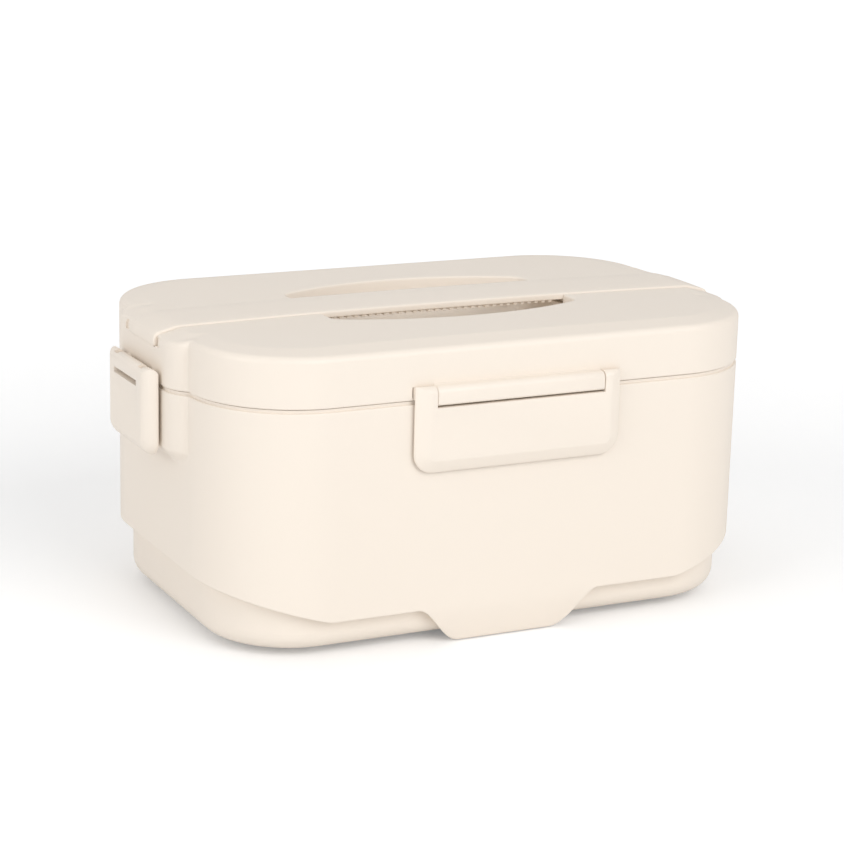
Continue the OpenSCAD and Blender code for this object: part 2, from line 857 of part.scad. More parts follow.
// Section of the latch barrel, seen from the right end
module barrel_outline() {
    back = -body_d / 2 - clear;
    low = latch_axis_z - barrel_drop;
    face = latch_axis_y - barrel_r;
    translate([latch_axis_y, latch_axis_z]) circle(barrel_r);
    translate([latch_axis_y, low]) square([back - latch_axis_y, latch_axis_z + barrel_r - 0.1 - low]);
    translate([face, low + barrel_soft]) square([latch_axis_y - face + eps, latch_axis_z - low - barrel_soft]);
    translate([face + barrel_soft, low]) square([latch_axis_y - face, barrel_soft + eps]);
    translate([face + barrel_soft, low + barrel_soft]) circle(barrel_soft);
}

module lid_screw_places() {
    for (sx = [-1, 1], sy = [-1, 1]) translate([sx * lid_screw_x, sy * lid_screw_y, 0]) children();
}

module lid_lugs() {
    for (s = [-1, 1], e = [-1, 1])
        scale([s, e, 1]) {
            along_y(lug_y - lug_t / 2, lug_y + lug_t / 2, side_axis_x, side_axis_z, lug_r);
            block(pad_x - 1, side_axis_x, lug_y - lug_t / 2, lug_y + lug_t / 2,
                  side_axis_z - 1.2, side_axis_z + 1.2);
        }
}

module lid_cover() {
    half = lid_knuckle / 2;
    boss_top = lid_side_top + lid_round - lid_wall + 1;
    color(shell_color)
        difference() {
            union() {
                difference() {
                    lid_form(0);
                    intersection() {
                        lid_form(lid_wall);
                        difference() {
                            translate([0, 0, lid_z - 2]) linear_extrude(far) full_outline(lid_wall);
                            // Material that stays inside the lid
                            translate([0, 0, well_floor_z - well_wall])
                                linear_extrude(far) well_outline(-well_wall);
                            block(-body_w, body_w, -strip_half - 3, strip_half + 3, strip_seat - 2, far);
                            for (s = [-1, 1])
                                scale([s, 1, 1])
                                    block(strip_end - strip_leg_t - 2, far, -strip_half - notch_w - 3,
                                          strip_half + notch_w + 3, strip_leg_z - 3, far);
                            lid_screw_places()
                                translate([0, 0, inner_lid_z + inner_lid_t]) cylinder(h = far, r = 3.5);
                        }
                    }
                    translate([0, 0, -far + lid_z]) cube([far * 2, far * 2, far * 2], center = true);
                    translate([0, 0, lid_z - far]) linear_extrude(far) square(far * 2, center = true);
                }
                // Latch barrel on the front wall
                translate([-barrel_len / 2, 0, 0])
                    rotate([90, 0, 90]) linear_extrude(barrel_len) barrel_outline();
                block(-barrel_len / 2, barrel_len / 2, -body_d / 2 - clear, -body_d / 2 + 1,
                      lid_z, latch_axis_z + barrel_r - 0.1);
                lid_lugs();
                // Lid knuckles with their webs
                hinge_places() {
                    along_x(-half, half, hinge_y, hinge_z, knuckle_r);
                    block(-half, half, body_d / 2 - 2, hinge_y + 2, hinge_z, hinge_z + 7);
                }
            }
            // Finger well
            translate([0, 0, well_floor_z]) linear_extrude(far) well_outline(0);
            strip_room(clear);
            // Room behind the latch's ears
            for (s = [-1, 1])
                scale([s, 1, 1])
                    along_x(ear_in - clear, latch_half + 0.5, latch_axis_y, latch_axis_z, ear_r + clear);
            along_x(-barrel_len, barrel_len, latch_axis_y, latch_axis_z, latch_pin_r);
            for (s = [-1, 1])
                along_y(-strip_w, strip_w, s * side_axis_x, side_axis_z, latch_pin_r);
            hinge_places() {
                along_x(-20, 20, hinge_y, hinge_z, hinge_pin_r + run_fit);
                body_knuckles(knuckle_clear);
            }
            lid_screw_places()
                translate([0, 0, lid_z - 1]) cylinder(h = boss_top - 3 - lid_z + 1, r = 1.25);
            for (x = strip_screw_x) translate([x, 0, 0]) cylinder(h = far, r = 1.45);
        }
}

module inner_lid() {
    color(liner_color)
        difference() {
            translate([0, 0, inner_lid_z]) linear_extrude(inner_lid_t) full_outline(lid_wall + clear);
            lid_screw_places() cylinder(h = far, r = 1.5);
            translate([vent_x, vent_y, 0]) cylinder(h = far, r = vent_r - 1.5);
        }
}

module lid_gasket() {
    color(seal_color)
        translate([0, 0, gasket_z])
            linear_extrude(inner_lid_z - gasket_z)
                difference() {
                    plain_outline(gasket_inset);
                    plain_outline(gasket_inset + gasket_w);
                }
}

module steam_vent() {
    color(seal_color)
        difference() {
            translate([vent_x, vent_y, 0]) {
                translate([0, 0, inner_lid_z - 1.6]) cylinder(h = 1.6, r = vent_r);
                translate([0, 0, inner_lid_z - eps])
                    cylinder(h = inner_lid_t + 2 * eps, r = vent_r - 1.5 - run_fit);
            }
            translate([vent_x, vent_y, 0]) cylinder(h = far, r = 1.2);
        }
}

module lid_screws() {
    color(steel_color)
        lid_screw_places()
            difference() {
                union() {
                    translate([0, 0, inner_lid_z - lid_screw_head]) cylinder(h = lid_screw_head, r = small_head_r);
                    translate([0, 0, inner_lid_z - eps]) cylinder(h = lid_screw_len, r = small_screw_r);
                }
                for (a = [0, 90])
                    translate([0, 0, inner_lid_z - lid_screw_head])
                        rotate([0, 0, a]) cube([small_head_r + 0.2, 0.7, 1.2], center = true);
            }
}

// Carrying strip

module carry_strip() {
    over_well = well_half - 2;
    tilt = atan(strip_slope);
    corner_x = strip_end - strip_corner;
    corner_z = strip_z(strip_bend) - strip_slope * (corner_x + strip_corner * sin(tilt) - strip_bend)
        - strip_corner * cos(tilt);
    right = concat(
        [for (i = [0 : 10]) let (x = strip_bend * i / 10) [x, strip_z(x)]],
        [for (a = [90 - tilt : -15 : 0]) [corner_x + strip_corner * cos(a), corner_z + strip_corner * sin(a)]],
        [[strip_end, corner_z]],
        [[strip_end, strip_leg_z], [strip_end - strip_leg_t, strip_leg_z],
         [strip_end - strip_leg_t, strip_seat + 1], [body_w / 2 - 2, strip_seat + 1],
         [body_w / 2 - 2, strip_seat], [over_well, strip_seat], [over_well - 2, strip_top - strip_t]]);
    left = [for (i = [len(right) - 1 : -1 : 1]) [-right[i][0], right[i][1]]];
    color(shell_color)
        difference() {
            translate([0, strip_half, 0])
                rotate([90, 0, 0]) linear_extrude(strip_w) polygon(concat(left, right));
            for (x = strip_screw_x) translate([x, 0, 0]) cylinder(h = strip_seat + 2.6, r = 1.25);
        }
}

module strip_grip() {
    top = strip_top - strip_t;
    count = floor(grip_half / rib_pitch);
    color(shell_color) {
        block(-grip_half, grip_half, -strip_half + 1, strip_half - 1, top - grip_t, top);
        for (i = [-count : count])
            block(i * rib_pitch - grip_rib_w / 2, i * rib_pitch + grip_rib_w / 2,
                  -strip_half + 0.2, strip_half - 0.2, top - grip_t - grip_rib_h, top - grip_t + eps);
    }
}

module strip_screws() {
    color(steel_color)
        for (x = strip_screw_x)
            translate([x, 0, 0]) {
                translate([0, 0, strip_seat - 2 - strip_screw_head]) cylinder(h = strip_screw_head, r = small_head_r);
                translate([0, 0, strip_seat - 2 - eps]) cylinder(h = strip_screw_len, r = small_screw_r);
            }
}

// Latches

// A rounded plate that stands in the XZ plane, its back at y = 0 and its face towards -Y
module latch_plate(w, h, r, t, bevel, bevel_h) {
    rotate([90, 0, 0]) {
        linear_extrude(t - bevel_h + eps) rounded(w, h, r);
        translate([0, 0, t - bevel_h]) taper_slab(w, h, r, bevel_h, bevel);
    }
}

module front_latch() {
    t = latch_back - latch_y;
    h = latch_plate_top + 24 - latch_foot_z;
    hook_z = latch_axis_z - catch_drop - catch_h - clear - 0.3;
    color(shell_color)
        difference() {
            union() {
                intersection() {
                    translate([0, latch_back, latch_foot_z + h / 2])
                        latch_plate(latch_w, h, latch_corner, t, latch_bevel, latch_bevel_h);
                    union() {
                        block(-latch_w, latch_w, -far, 0, 0, latch_plate_top);
                        for (s = [-1, 1])
                            scale([s, 1, 1]) block(ear_in, latch_w, -far, 0, 0, latch_axis_z);
                    }
                }
                for (s = [-1, 1])
                    scale([s, 1, 1]) {
                        along_x(ear_in, latch_half - 2.4, latch_axis_y, latch_axis_z, ear_r);
                        translate([latch_half - 2.4, latch_axis_y, latch_axis_z])
                            rotate([0, 90, 0]) cylinder(h = 2.4, r1 = ear_r, r2 = ear_r - 1.4);
                    }
            }
            // Recess for the catch rib, with a hook bar under it
            difference() {
                block(-34, 34, latch_back - recess_t, 0, latch_foot_z + 6, latch_plate_top - 3);
                block(-30, 30, latch_back - recess_t - 1, 0, hook_z - 1.8, hook_z);
            }
            along_x(-latch_half + 2, latch_half - 2, latch_axis_y, latch_axis_z, latch_pin_r + run_fit);
        }
}

module front_latch_pin() {
    color(steel_color)
        along_x(-latch_half + 3, latch_half - 3, latch_axis_y, latch_axis_z, latch_pin_r);
}

// The latch at the right end; the left one is its mirror image
module side_latch() {
    t = side_face - side_back;
    extra = side_bevel + 3;
    h = side_top_z + extra - side_foot_z;
    hook_z = side_axis_z - catch_drop - 2 - catch_h - clear - 0.3;
    difference() {
        intersection() {
            translate([side_back, 0, side_foot_z + h / 2])
                rotate([0, 0, 90])
                    latch_plate(side_latch_w, h, 7, t, side_bevel, side_bevel_h);
            union() {
                block(0, far, -far / 2, far / 2, 0, side_axis_z);
                block(0, side_axis_x, -far / 2, far / 2, 0, side_axis_z + eps);
                along_y(-side_latch_w, side_latch_w, side_axis_x, side_axis_z, side_swing_r);
            }
            block(0, far, -far / 2, far / 2, 0, side_top_z);
        }
        // Slot under the hinge
        block(side_back - 5, far, -slot_w / 2, slot_w / 2, slot_z - slot_h / 2, slot_z + slot_h / 2);
        // Room for the lid's lugs as the latch swings
        for (e = [-1, 1])
            scale([1, e, 1]) {
                along_y(lug_y - lug_t / 2 - clear, lug_y + lug_t / 2 + clear,
                        side_axis_x, side_axis_z, lug_r + clear);
                block(side_back - 5, side_axis_x + 1.8, lug_y - lug_t / 2 - clear,
                      lug_y + lug_t / 2 + clear, side_axis_z - 1.2 - clear, far);
            }
        // Recess for the catch rib, with a hook bar under it
        difference() {
            block(side_back - 1, side_back + recess_t, -14, 14, side_foot_z + 8, slot_z - 3);
            block(side_back - 2, far, -11, 11, hook_z - 1.8, hook_z);
        }
        along_y(-side_latch_w / 2 + 5, side_latch_w / 2 - 5, side_axis_x, side_axis_z,
                latch_pin_r + run_fit);
    }
}

module side_latch_pin() {
    along_y(-side_latch_w / 2 + 5.5, side_latch_w / 2 - 5.5, side_axis_x, side_axis_z, latch_pin_r);
}

module left_latch() {
    color(shell_color) mirror([1, 0, 0]) side_latch();
}

module left_latch_pin() {
    color(steel_color) mirror([1, 0, 0]) side_latch_pin();
}

module right_latch() {
    color(shell_color) side_latch();
}

module right_latch_pin() {
    color(steel_color) side_latch_pin();
}

module hinge_pins() {
    half = lid_knuckle / 2 + knuckle_clear + body_knuckle;
    color(steel_color) hinge_places() along_x(-half, half, hinge_y, hinge_z, hinge_pin_r);
}

body_shell();
base_tray();
rubber_feet();
base_screws();
inner_liner();
heating_plate();
heating_ring();
heater_clamp();
insulation_pad();
thermostat();
thermal_fuse();
power_inlet();
inlet_pins();
inner_wires();
inner_pot();
lid_cover();
inner_lid();
lid_gasket();
steam_vent();
lid_screws();
carry_strip();
strip_grip();
strip_screws();
front_latch();
front_latch_pin();
left_latch();
left_latch_pin();
right_latch();
right_latch_pin();
hinge_pins();
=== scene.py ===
"""Looks of a cream electric lunch box: shell, base, domed lid with finger wells, carrying strip and swing latches."""

import logging
import math
from collections.abc import Callable, Sequence
from dataclasses import dataclass, field
from enum import Enum
from functools import cached_property

import bmesh
import bpy
import numpy as np
from mathutils import Matrix, Vector


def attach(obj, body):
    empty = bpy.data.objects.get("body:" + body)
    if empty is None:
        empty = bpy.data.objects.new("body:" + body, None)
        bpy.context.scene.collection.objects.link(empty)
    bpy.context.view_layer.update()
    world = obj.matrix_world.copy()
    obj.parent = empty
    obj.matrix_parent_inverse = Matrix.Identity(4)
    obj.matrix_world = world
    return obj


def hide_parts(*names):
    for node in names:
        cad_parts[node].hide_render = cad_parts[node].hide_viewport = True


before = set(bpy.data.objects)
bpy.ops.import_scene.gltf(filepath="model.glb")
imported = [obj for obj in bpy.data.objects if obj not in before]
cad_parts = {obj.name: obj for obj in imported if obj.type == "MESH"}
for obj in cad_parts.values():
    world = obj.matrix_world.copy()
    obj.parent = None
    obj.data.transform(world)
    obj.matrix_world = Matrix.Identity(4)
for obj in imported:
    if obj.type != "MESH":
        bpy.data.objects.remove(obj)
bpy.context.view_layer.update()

Piece = bpy.types.Object
Pair = tuple[float, float]
Point = tuple[float, float, float]

MM = 0.001
FOLD = 32.0  # degrees above which a fold stays crisp, where nothing else is said
LOG = logging.getLogger("lunch_box")


# Small maths


def smooth_min(a: np.ndarray, b: np.ndarray, k: float) -> np.ndarray:
    """Blend two surfaces into their lower one over a width k."""
    h = np.maximum(k - np.abs(a - b), 0.0) / k
    return np.minimum(a, b) - h * h * k * 0.25


def smooth_max(a: np.ndarray, b: np.ndarray, k: float) -> np.ndarray:
    """Blend two surfaces into their upper one over a width k."""
    return -smooth_min(-np.asarray(a), -np.asarray(b), k)


def quarter(start: float, end: float, steps: int) -> list[Pair]:
    """Cosine and sine of evenly spaced angles from start to end, in degrees."""
    angles = [math.radians(start + (end - start) * i / steps) for i in range(steps + 1)]
    return [(math.cos(a), math.sin(a)) for a in angles]


def arc(middle: Pair, radii: Pair, angles: np.ndarray) -> list[Pair]:
    """Points about a middle at these angles, in degrees."""
    return [(middle[0] + radii[0] * math.cos(t), middle[1] + radii[1] * math.sin(t)) for t in np.radians(angles)]


# Mesh building


class Op(Enum):
    """How a helper shape changes a piece."""

    CUT = "DIFFERENCE"
    KEEP = "INTERSECT"


class Cap(Enum):
    """How the first and last ring of a skin are closed."""

    OPEN = "open"
    FAN = "fan"
    FACE = "face"


class Forge:
    """Turns rings of points into finished mesh objects, in millimetres."""

    ROD_POINTS = 40

    @staticmethod
    def soften(piece: Piece, angle: float) -> None:
        """Shade a piece smooth, with folds sharper than the angle kept crisp."""
        piece.data.shade_smooth()
        piece.data.set_sharp_from_angle(angle=math.radians(angle))

    @staticmethod
    def fill(name: str, mesh: bpy.types.Mesh, work: bmesh.types.BMesh, angle: float) -> Piece:
        """Pour worked geometry into a mesh and make an object of it.

        Args:
            name: Name of the piece.
            mesh: The mesh to fill.
            work: The geometry, which is freed.
            angle: Folds sharper than this, in degrees, stay crisp.

        Returns:
            The new object, linked to the scene.
        """
        work.to_mesh(mesh)
        work.free()
        piece = bpy.data.objects.new(name, mesh)
        bpy.context.scene.collection.objects.link(piece)
        Forge.soften(piece, angle)
        return piece

    @staticmethod
    def bake(piece: Piece, angle: float) -> None:
        """Turn a piece's modifiers into its mesh.

        Args:
            piece: The piece that changes.
            angle: Folds sharper than this stay crisp.
        """
        graph = bpy.context.evaluated_depsgraph_get()
        mesh = bpy.data.meshes.new_from_object(piece.evaluated_get(graph))
        piece.modifiers.clear()
        piece.data = mesh
        Forge.soften(piece, angle)

    @staticmethod
    def obj(name: str, verts: Sequence, faces: Sequence, angle: float = FOLD) -> Piece:
        """Make a mesh object from points and faces.

        Args:
            name: Name of the piece.
            verts: Points in millimetres.
            faces: Index tuples.
            angle: Folds sharper than this stay crisp.

        Returns:
            The new object.
        """
        mesh = bpy.data.meshes.new(name)
        mesh.from_pydata([tuple(float(c) * MM for c in v) for v in verts], [], [tuple(f) for f in faces])
        mesh.validate()
        work = bmesh.new()
        work.from_mesh(mesh)
        bmesh.ops.remove_doubles(work, verts=work.verts, dist=1e-7)
        bmesh.ops.recalc_face_normals(work, faces=work.faces)
        return Forge.fill(name, mesh, work, angle)

    @staticmethod
    def loft(name: str, rings: Sequence[Sequence], cap: Cap = Cap.FAN, angle: float = FOLD) -> Piece:
        """Skin closed rings of equal length.

        Args:
            name: Name of the piece.
            rings: Points of each ring, in order.
            cap: How both ends are closed.
            angle: Folds sharper than this stay crisp.

        Returns:
            The skinned object.
        """
        n, last = len(rings[0]), len(rings) - 1
        verts = [tuple(p) for ring in rings for p in ring]
        faces: list[tuple[int, ...]] = [(k * n + i, k * n + (i + 1) % n, (k + 1) * n + (i + 1) % n, (k + 1) * n + i)
                                        for k in range(last) for i in range(n)]
        for k in (0, last):
            around = tuple(range(k * n, k * n + n))
            if cap is Cap.FAN:
                verts.append(tuple(np.mean(np.asarray(rings[k]), axis=0)))
                faces += [(around[(i + 1) % n], around[i], len(verts) - 1) for i in range(n)]
            elif cap is Cap.FACE:
                faces.append(around)
        return Forge.obj(name, verts, faces, angle)

    @staticmethod
    def box(name: str, corner: Point, other: Point, soft: float) -> Piece:
        """Make a block whose edges are rounded.

        Args:
            name: Name of the piece.
            corner: One corner in millimetres.
            other: The opposite corner.
            soft: Rounding of its edges in millimetres, or 0.

        Returns:
            The block.
        """
        low, high = np.minimum(corner, other), np.maximum(corner, other)
        work = bmesh.new()
        bmesh.ops.create_cube(work, size=1.0)
        for v in work.verts:
            v.co = Vector([(low[i] + high[i]) / 2 + v.co[i] * (high[i] - low[i]) for i in range(3)]) * MM
        if soft > 0:
            bmesh.ops.bevel(work, geom=list(work.edges), offset=soft * MM, segments=3, profile=0.5,
                            affect="EDGES", clamp_overlap=True)
        return Forge.fill(name, bpy.data.meshes.new(name), work, 50.0)

    @staticmethod
    def gather(name: str, parts: Sequence[Piece]) -> Piece:
        """Put several meshes into one object.

        Args:
            name: Name of the piece.
            parts: Objects to gather, which are dropped.

        Returns:
            The gathered object.
        """
        work = bmesh.new()
        for part in parts:
            work.from_mesh(part.data)
            bpy.data.objects.remove(part, do_unlink=True)
        return Forge.fill(name, bpy.data.meshes.new(name), work, 40.0)

    @staticmethod
    def combine(piece: Piece, helpers: Sequence[Piece], op: Op, angle: float = FOLD) -> None:
        """Cut helpers out of a piece or keep what lies inside them, and drop the helpers.

        Args:
            piece: The piece that changes.
            helpers: Closed shapes.
            op: Cut or keep.
            angle: Folds sharper than this stay crisp.
        """
        for helper in helpers:
            mod = piece.modifiers.new("shape", "BOOLEAN")
            mod.operation = op.value
            mod.solver = "EXACT"
            mod.object = helper
        Forge.bake(piece, angle)
        for helper in helpers:
            bpy.data.objects.remove(helper, do_unlink=True)

    @staticmethod
    def ease_edges(piece: Piece, width: float) -> None:
        """Round off the folds of a finished piece.

        Args:
            piece: The piece that changes.
            width: Width of the rounding in millimetres.
        """
        mod = piece.modifiers.new("round", "BEVEL")
        mod.width = width * MM
        mod.segments = 2
        mod.limit_method = "ANGLE"
        mod.angle_limit = math.radians(34.0)
        Forge.bake(piece, 50.0)

    @staticmethod
    def rod(name: str, end: Point, other: Point, radius: float, soft: float) -> Piece:
        """Make a round rod with rounded ends.

        Args:
            name: Name of the piece.
            end: Middle of one end in millimetres.
            other: Middle of the other end.
            radius: Radius in millimetres.
            soft: Rounding of the ends.

        Returns:
            The rod.
        """
        a, b = (np.asarray(p, float) for p in sorted((end, other)))
        axis = (b - a) / np.linalg.norm(b - a)
        side = np.cross(axis, [0.3, 0.5, 0.81])
        side /= np.linalg.norm(side)
        turns = np.linspace(0, 2 * math.pi, Forge.ROD_POINTS, endpoint=False)
        around = np.outer(np.cos(turns), side) + np.outer(np.sin(turns), np.cross(axis, side))
        rounding = quarter(0, 90, 4)
        rings = [a + axis * soft * (1 - c) + around * (radius - soft + soft * s) for s, c in reversed(rounding)]
        rings += [b - axis * soft * (1 - c) + around * (radius - soft + soft * s) for s, c in rounding]
        return Forge.loft(name, rings, angle=50.0)


# Finishes

FLOAT, COLOUR, VECTOR = "NodeSocketFloat", "NodeSocketColor", "NodeSocketVector"


class Net:
    """Adds nodes to a shader tree, with their options, values and links."""

    def __init__(self, tree: bpy.types.NodeTree) -> None:
        """Work on this tree."""
        self.tree = tree

    def feed(self, node: bpy.types.Node, inputs: dict[str | int, object]) -> None:
        """Fill inputs of a node.

        Args:
            node: The node.
            inputs: For each input, by name or number, its value or the socket or node that feeds it.
        """
        for key, value in inputs.items():
            if isinstance(value, bpy.types.Node):
                value = value.outputs[0]  # a node gives its first output
            if isinstance(value, bpy.types.NodeSocket):
                self.tree.links.new(value, node.inputs[key])
            else:
                node.inputs[key].default_value = value

    def add(self, kind: str, inputs: dict[str | int, object] | None = None, **options: object) -> bpy.types.Node:
        """Add a node.

        Args:
            kind: Its type, without the beginning that all shader nodes share.
            inputs: What its inputs get.
            options: Its other settings.

        Returns:
            The new node.
        """
        node = self.tree.nodes.new("ShaderNode" + kind)
        for key, value in options.items():
            setattr(node, key, value)
        self.feed(node, inputs or {})
        return node


class Groups:
    """Shader node groups that several finishes share, each built once."""

    @staticmethod
    def start(name: str, inputs: Sequence[tuple[str, str, object]],
              outputs: Sequence[tuple[str, str]]) -> tuple[Net, bpy.types.bpy_prop_collection, bpy.types.Node]:
        """Make an empty group with named sockets.

        Args:
            name: Name of the group.
            inputs: Name, socket type and default of each input.
            outputs: Name and socket type of each output.

        Returns:
            The net on its tree, what its input node gives and its output node.
        """
        tree = bpy.data.node_groups.new(name, "ShaderNodeTree")
        for label, kind, default in inputs:
            tree.interface.new_socket(label, in_out="INPUT", socket_type=kind).default_value = default
        for label, kind in outputs:
            tree.interface.new_socket(label, in_out="OUTPUT", socket_type=kind)
        return Net(tree), tree.nodes.new("NodeGroupInput").outputs, tree.nodes.new("NodeGroupOutput")

    @cached_property
    def grain(self) -> bpy.types.NodeTree:
        """The group that gives a spark-eroded grain: height and a fine mask."""
        sockets = [("Scale", FLOAT, 2600.0), ("Roughness", FLOAT, 0.55)]
        net, src, out = self.start("moulded_grain", sockets, [("Height", FLOAT), ("Mask", FLOAT)])
        where = net.add("TexCoord").outputs["Object"]
        fine = net.add("TexNoise", {"Vector": where, "Scale": src["Scale"], "Roughness": src["Roughness"],
                                    "Detail": 3.0})
        wide = net.add("Math", {0: src["Scale"], 1: 0.28}, operation="MULTIPLY")
        coarse = net.add("TexNoise", {"Vector": where, "Scale": wide, "Detail": 2.0})
        both = net.add("Math", {0: fine, 1: coarse}, operation="ADD")
        net.feed(out, {"Height": both, "Mask": coarse})
        return net.tree

    @cached_property
    def tone(self) -> bpy.types.NodeTree:
        """The group that shifts a colour slightly over the surface."""
        sockets = [("Color", COLOUR, (0.8, 0.8, 0.8, 1)), ("Other", COLOUR, (0.7, 0.7, 0.7, 1)),
                   ("Scale", FLOAT, 14.0), ("Amount", FLOAT, 0.3)]
        net, src, out = self.start("tone_shift", sockets, [("Color", COLOUR), ("Mask", FLOAT)])
        where = net.add("TexCoord").outputs["Object"]
        cloud = net.add("TexNoise", {"Vector": where, "Scale": src["Scale"], "Detail": 4.0})
        mask = net.add("MapRange", {"Value": cloud, "From Min": 0.35, "From Max": 0.65})
        share = net.add("Math", {0: mask, 1: src["Amount"]}, operation="MULTIPLY")
        mix = net.add("Mix", {"Factor": share, "A": src["Color"], "B": src["Other"]}, data_type="RGBA")
        net.feed(out, {"Color": mix.outputs["Result"], "Mask": mask})
        return net.tree

    @cached_property
    def wear(self) -> bpy.types.NodeTree:
        """The group that finds edges that hands polish: a mask."""
        net, src, out = self.start("edge_polish", [("Start", FLOAT, 0.52), ("End", FLOAT, 0.62)], [("Mask", FLOAT)])
        edge = net.add("NewGeometry").outputs["Pointiness"]
        mask = net.add("MapRange", {"Value": edge, "From Min": src["Start"], "From Max": src["End"]})
        net.feed(out, {"Mask": mask})
        return net.tree

    @cached_property
    def lines(self) -> bpy.types.NodeTree:
        """The group that gives brushed lines along one direction."""
        sockets = [("Stretch", VECTOR, (40.0, 1600.0, 1600.0)), ("Detail", FLOAT, 3.0)]
        net, src, out = self.start("brushed_lines", sockets, [("Height", FLOAT)])
        where = net.add("TexCoord").outputs["Object"]
        drawn = net.add("VectorMath", {0: where, 1: src["Stretch"]}, operation="MULTIPLY")
        noise = net.add("TexNoise", {"Vector": drawn, "Scale": 1.0, "Detail": src["Detail"]})
        net.feed(out, {"Height": noise})
        return net.tree


GROUPS = Groups()


@dataclass(frozen=True)
class Finish:
    """A finish with a colour that shifts a little, a fine relief and polished edges."""

    name: str
    colour: Point
    other: Point
    roughness: float
    spread: float = 0.06
    shift: float = 0.35
    shift_scale: float = 12.0
    grain: float = 2600.0
    depth: float = 0.00002
    polish: float = 0.08
    metallic: float = 0.0
    specular: float = 0.5
    subsurface: float = 0.0
    brushed: Point | None = None

    def build(self) -> bpy.types.Material:
        """Make the material, or find it if it was made before.

        Returns:
            The material.
        """
        known = bpy.data.materials.get(self.name)
        if known is not None:
            return known
        mat = bpy.data.materials.new(self.name)
        mat.use_nodes = True
        net, shader = Net(mat.node_tree), mat.node_tree.nodes["Principled BSDF"]
        tone = net.add("Group", {"Color": (*self.colour, 1.0), "Other": (*self.other, 1.0),
                                 "Scale": self.shift_scale, "Amount": self.shift}, node_tree=GROUPS.tone)
        if self.brushed is None:
            relief = net.add("Group", {"Scale": self.grain}, node_tree=GROUPS.grain)
        else:
            relief = net.add("Group", {"Stretch": self.brushed}, node_tree=GROUPS.lines)
        edge = net.add("Group", node_tree=GROUPS.wear)
        rough = net.add("Math", {0: tone.outputs["Mask"], 1: self.spread, 2: self.roughness}, operation="MULTIPLY_ADD")
        rubbed = net.add("Math", {0: edge, 1: -self.polish, 2: rough}, operation="MULTIPLY_ADD")
        bump = net.add("Bump", {"Height": relief, "Distance": self.depth, "Strength": 1.0})
        net.feed(shader, {"Base Color": tone.outputs["Color"], "Roughness": rubbed, "Normal": bump,
                          "Metallic": self.metallic, "Specular IOR Level": self.specular})
        if self.subsurface > 0:
            net.feed(shader, {"Subsurface Weight": self.subsurface, "Subsurface Radius": (1.0, 0.7, 0.5),
                              "Subsurface Scale": 0.0015})
        return mat


CREAM = Finish("cream_plastic", (0.885, 0.800, 0.705), (0.875, 0.790, 0.694), 0.42, grain=3000.0,
               depth=0.000022, specular=0.45)
LINER = Finish("liner_plastic", (0.870, 0.787, 0.694), (0.855, 0.772, 0.680), 0.44)
DARK = Finish("dark_plastic", (0.022, 0.022, 0.024), (0.03, 0.03, 0.032), 0.45)
FOOT = Finish("foot_rubber", (0.020, 0.020, 0.020), (0.032, 0.031, 0.030), 0.78, grain=1800.0, depth=0.00004)
SEAL = Finish("silicone_seal", (0.66, 0.63, 0.58), (0.60, 0.575, 0.53), 0.50, subsurface=0.15, depth=0.00001)
POT = Finish("pot_steel", (0.62, 0.62, 0.61), (0.56, 0.56, 0.555), 0.26, metallic=1.0, spread=0.08,
             depth=0.000006, brushed=(60.0, 2400.0, 2400.0))
PLATE = Finish("plate_aluminium", (0.66, 0.665, 0.67), (0.60, 0.60, 0.61), 0.34, metallic=1.0,
               depth=0.000008, brushed=(2200.0, 50.0, 2200.0))
HEATER = Finish("heater_metal", (0.22, 0.20, 0.185), (0.30, 0.24, 0.19), 0.42, metallic=1.0, shift=0.8,
                shift_scale=40.0)
STEEL = Finish("zinc_steel", (0.60, 0.61, 0.62), (0.52, 0.53, 0.54), 0.28, metallic=1.0,
               depth=0.000006, brushed=(1800.0, 120.0, 1800.0))
FIBRE = Finish("fibre_board", (0.76, 0.74, 0.69), (0.66, 0.63, 0.57), 0.92, shift=0.8, shift_scale=90.0,
               grain=900.0, depth=0.00025)
WIRE = Finish("wire_sleeve", (0.36, 0.030, 0.020), (0.30, 0.026, 0.018), 0.40)


class Dresser:
    """Dresses pieces and the model's own solids, and puts the pieces on the frame."""

    @staticmethod
    def place(piece: Piece, body: str, node: str) -> None:
        """Dress a piece in the cream plastic, let it ride and hide the node that it replaces.

        Args:
            piece: The piece.
            body: Body that carries it.
            node: Node that it replaces.
        """
        piece.data.materials.clear()
        piece.data.materials.append(CREAM.build())
        for poly in piece.data.polygons:
            poly.material_index = 0
        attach(piece, body)
        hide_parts(node)
        LOG.info("%s: %d faces on %s", piece.name, len(piece.data.polygons), body)

    @staticmethod
    def node(name: str, finish: Finish) -> None:
        """Dress a node that keeps its shape.

        Args:
            name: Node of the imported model.
            finish: Its finish.
        """
        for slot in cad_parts[name].material_slots:
            slot.link = "OBJECT"
            slot.material = finish.build()
        LOG.info("%s keeps its solid", name)


# Outline and axes that the shell, lid and latches share


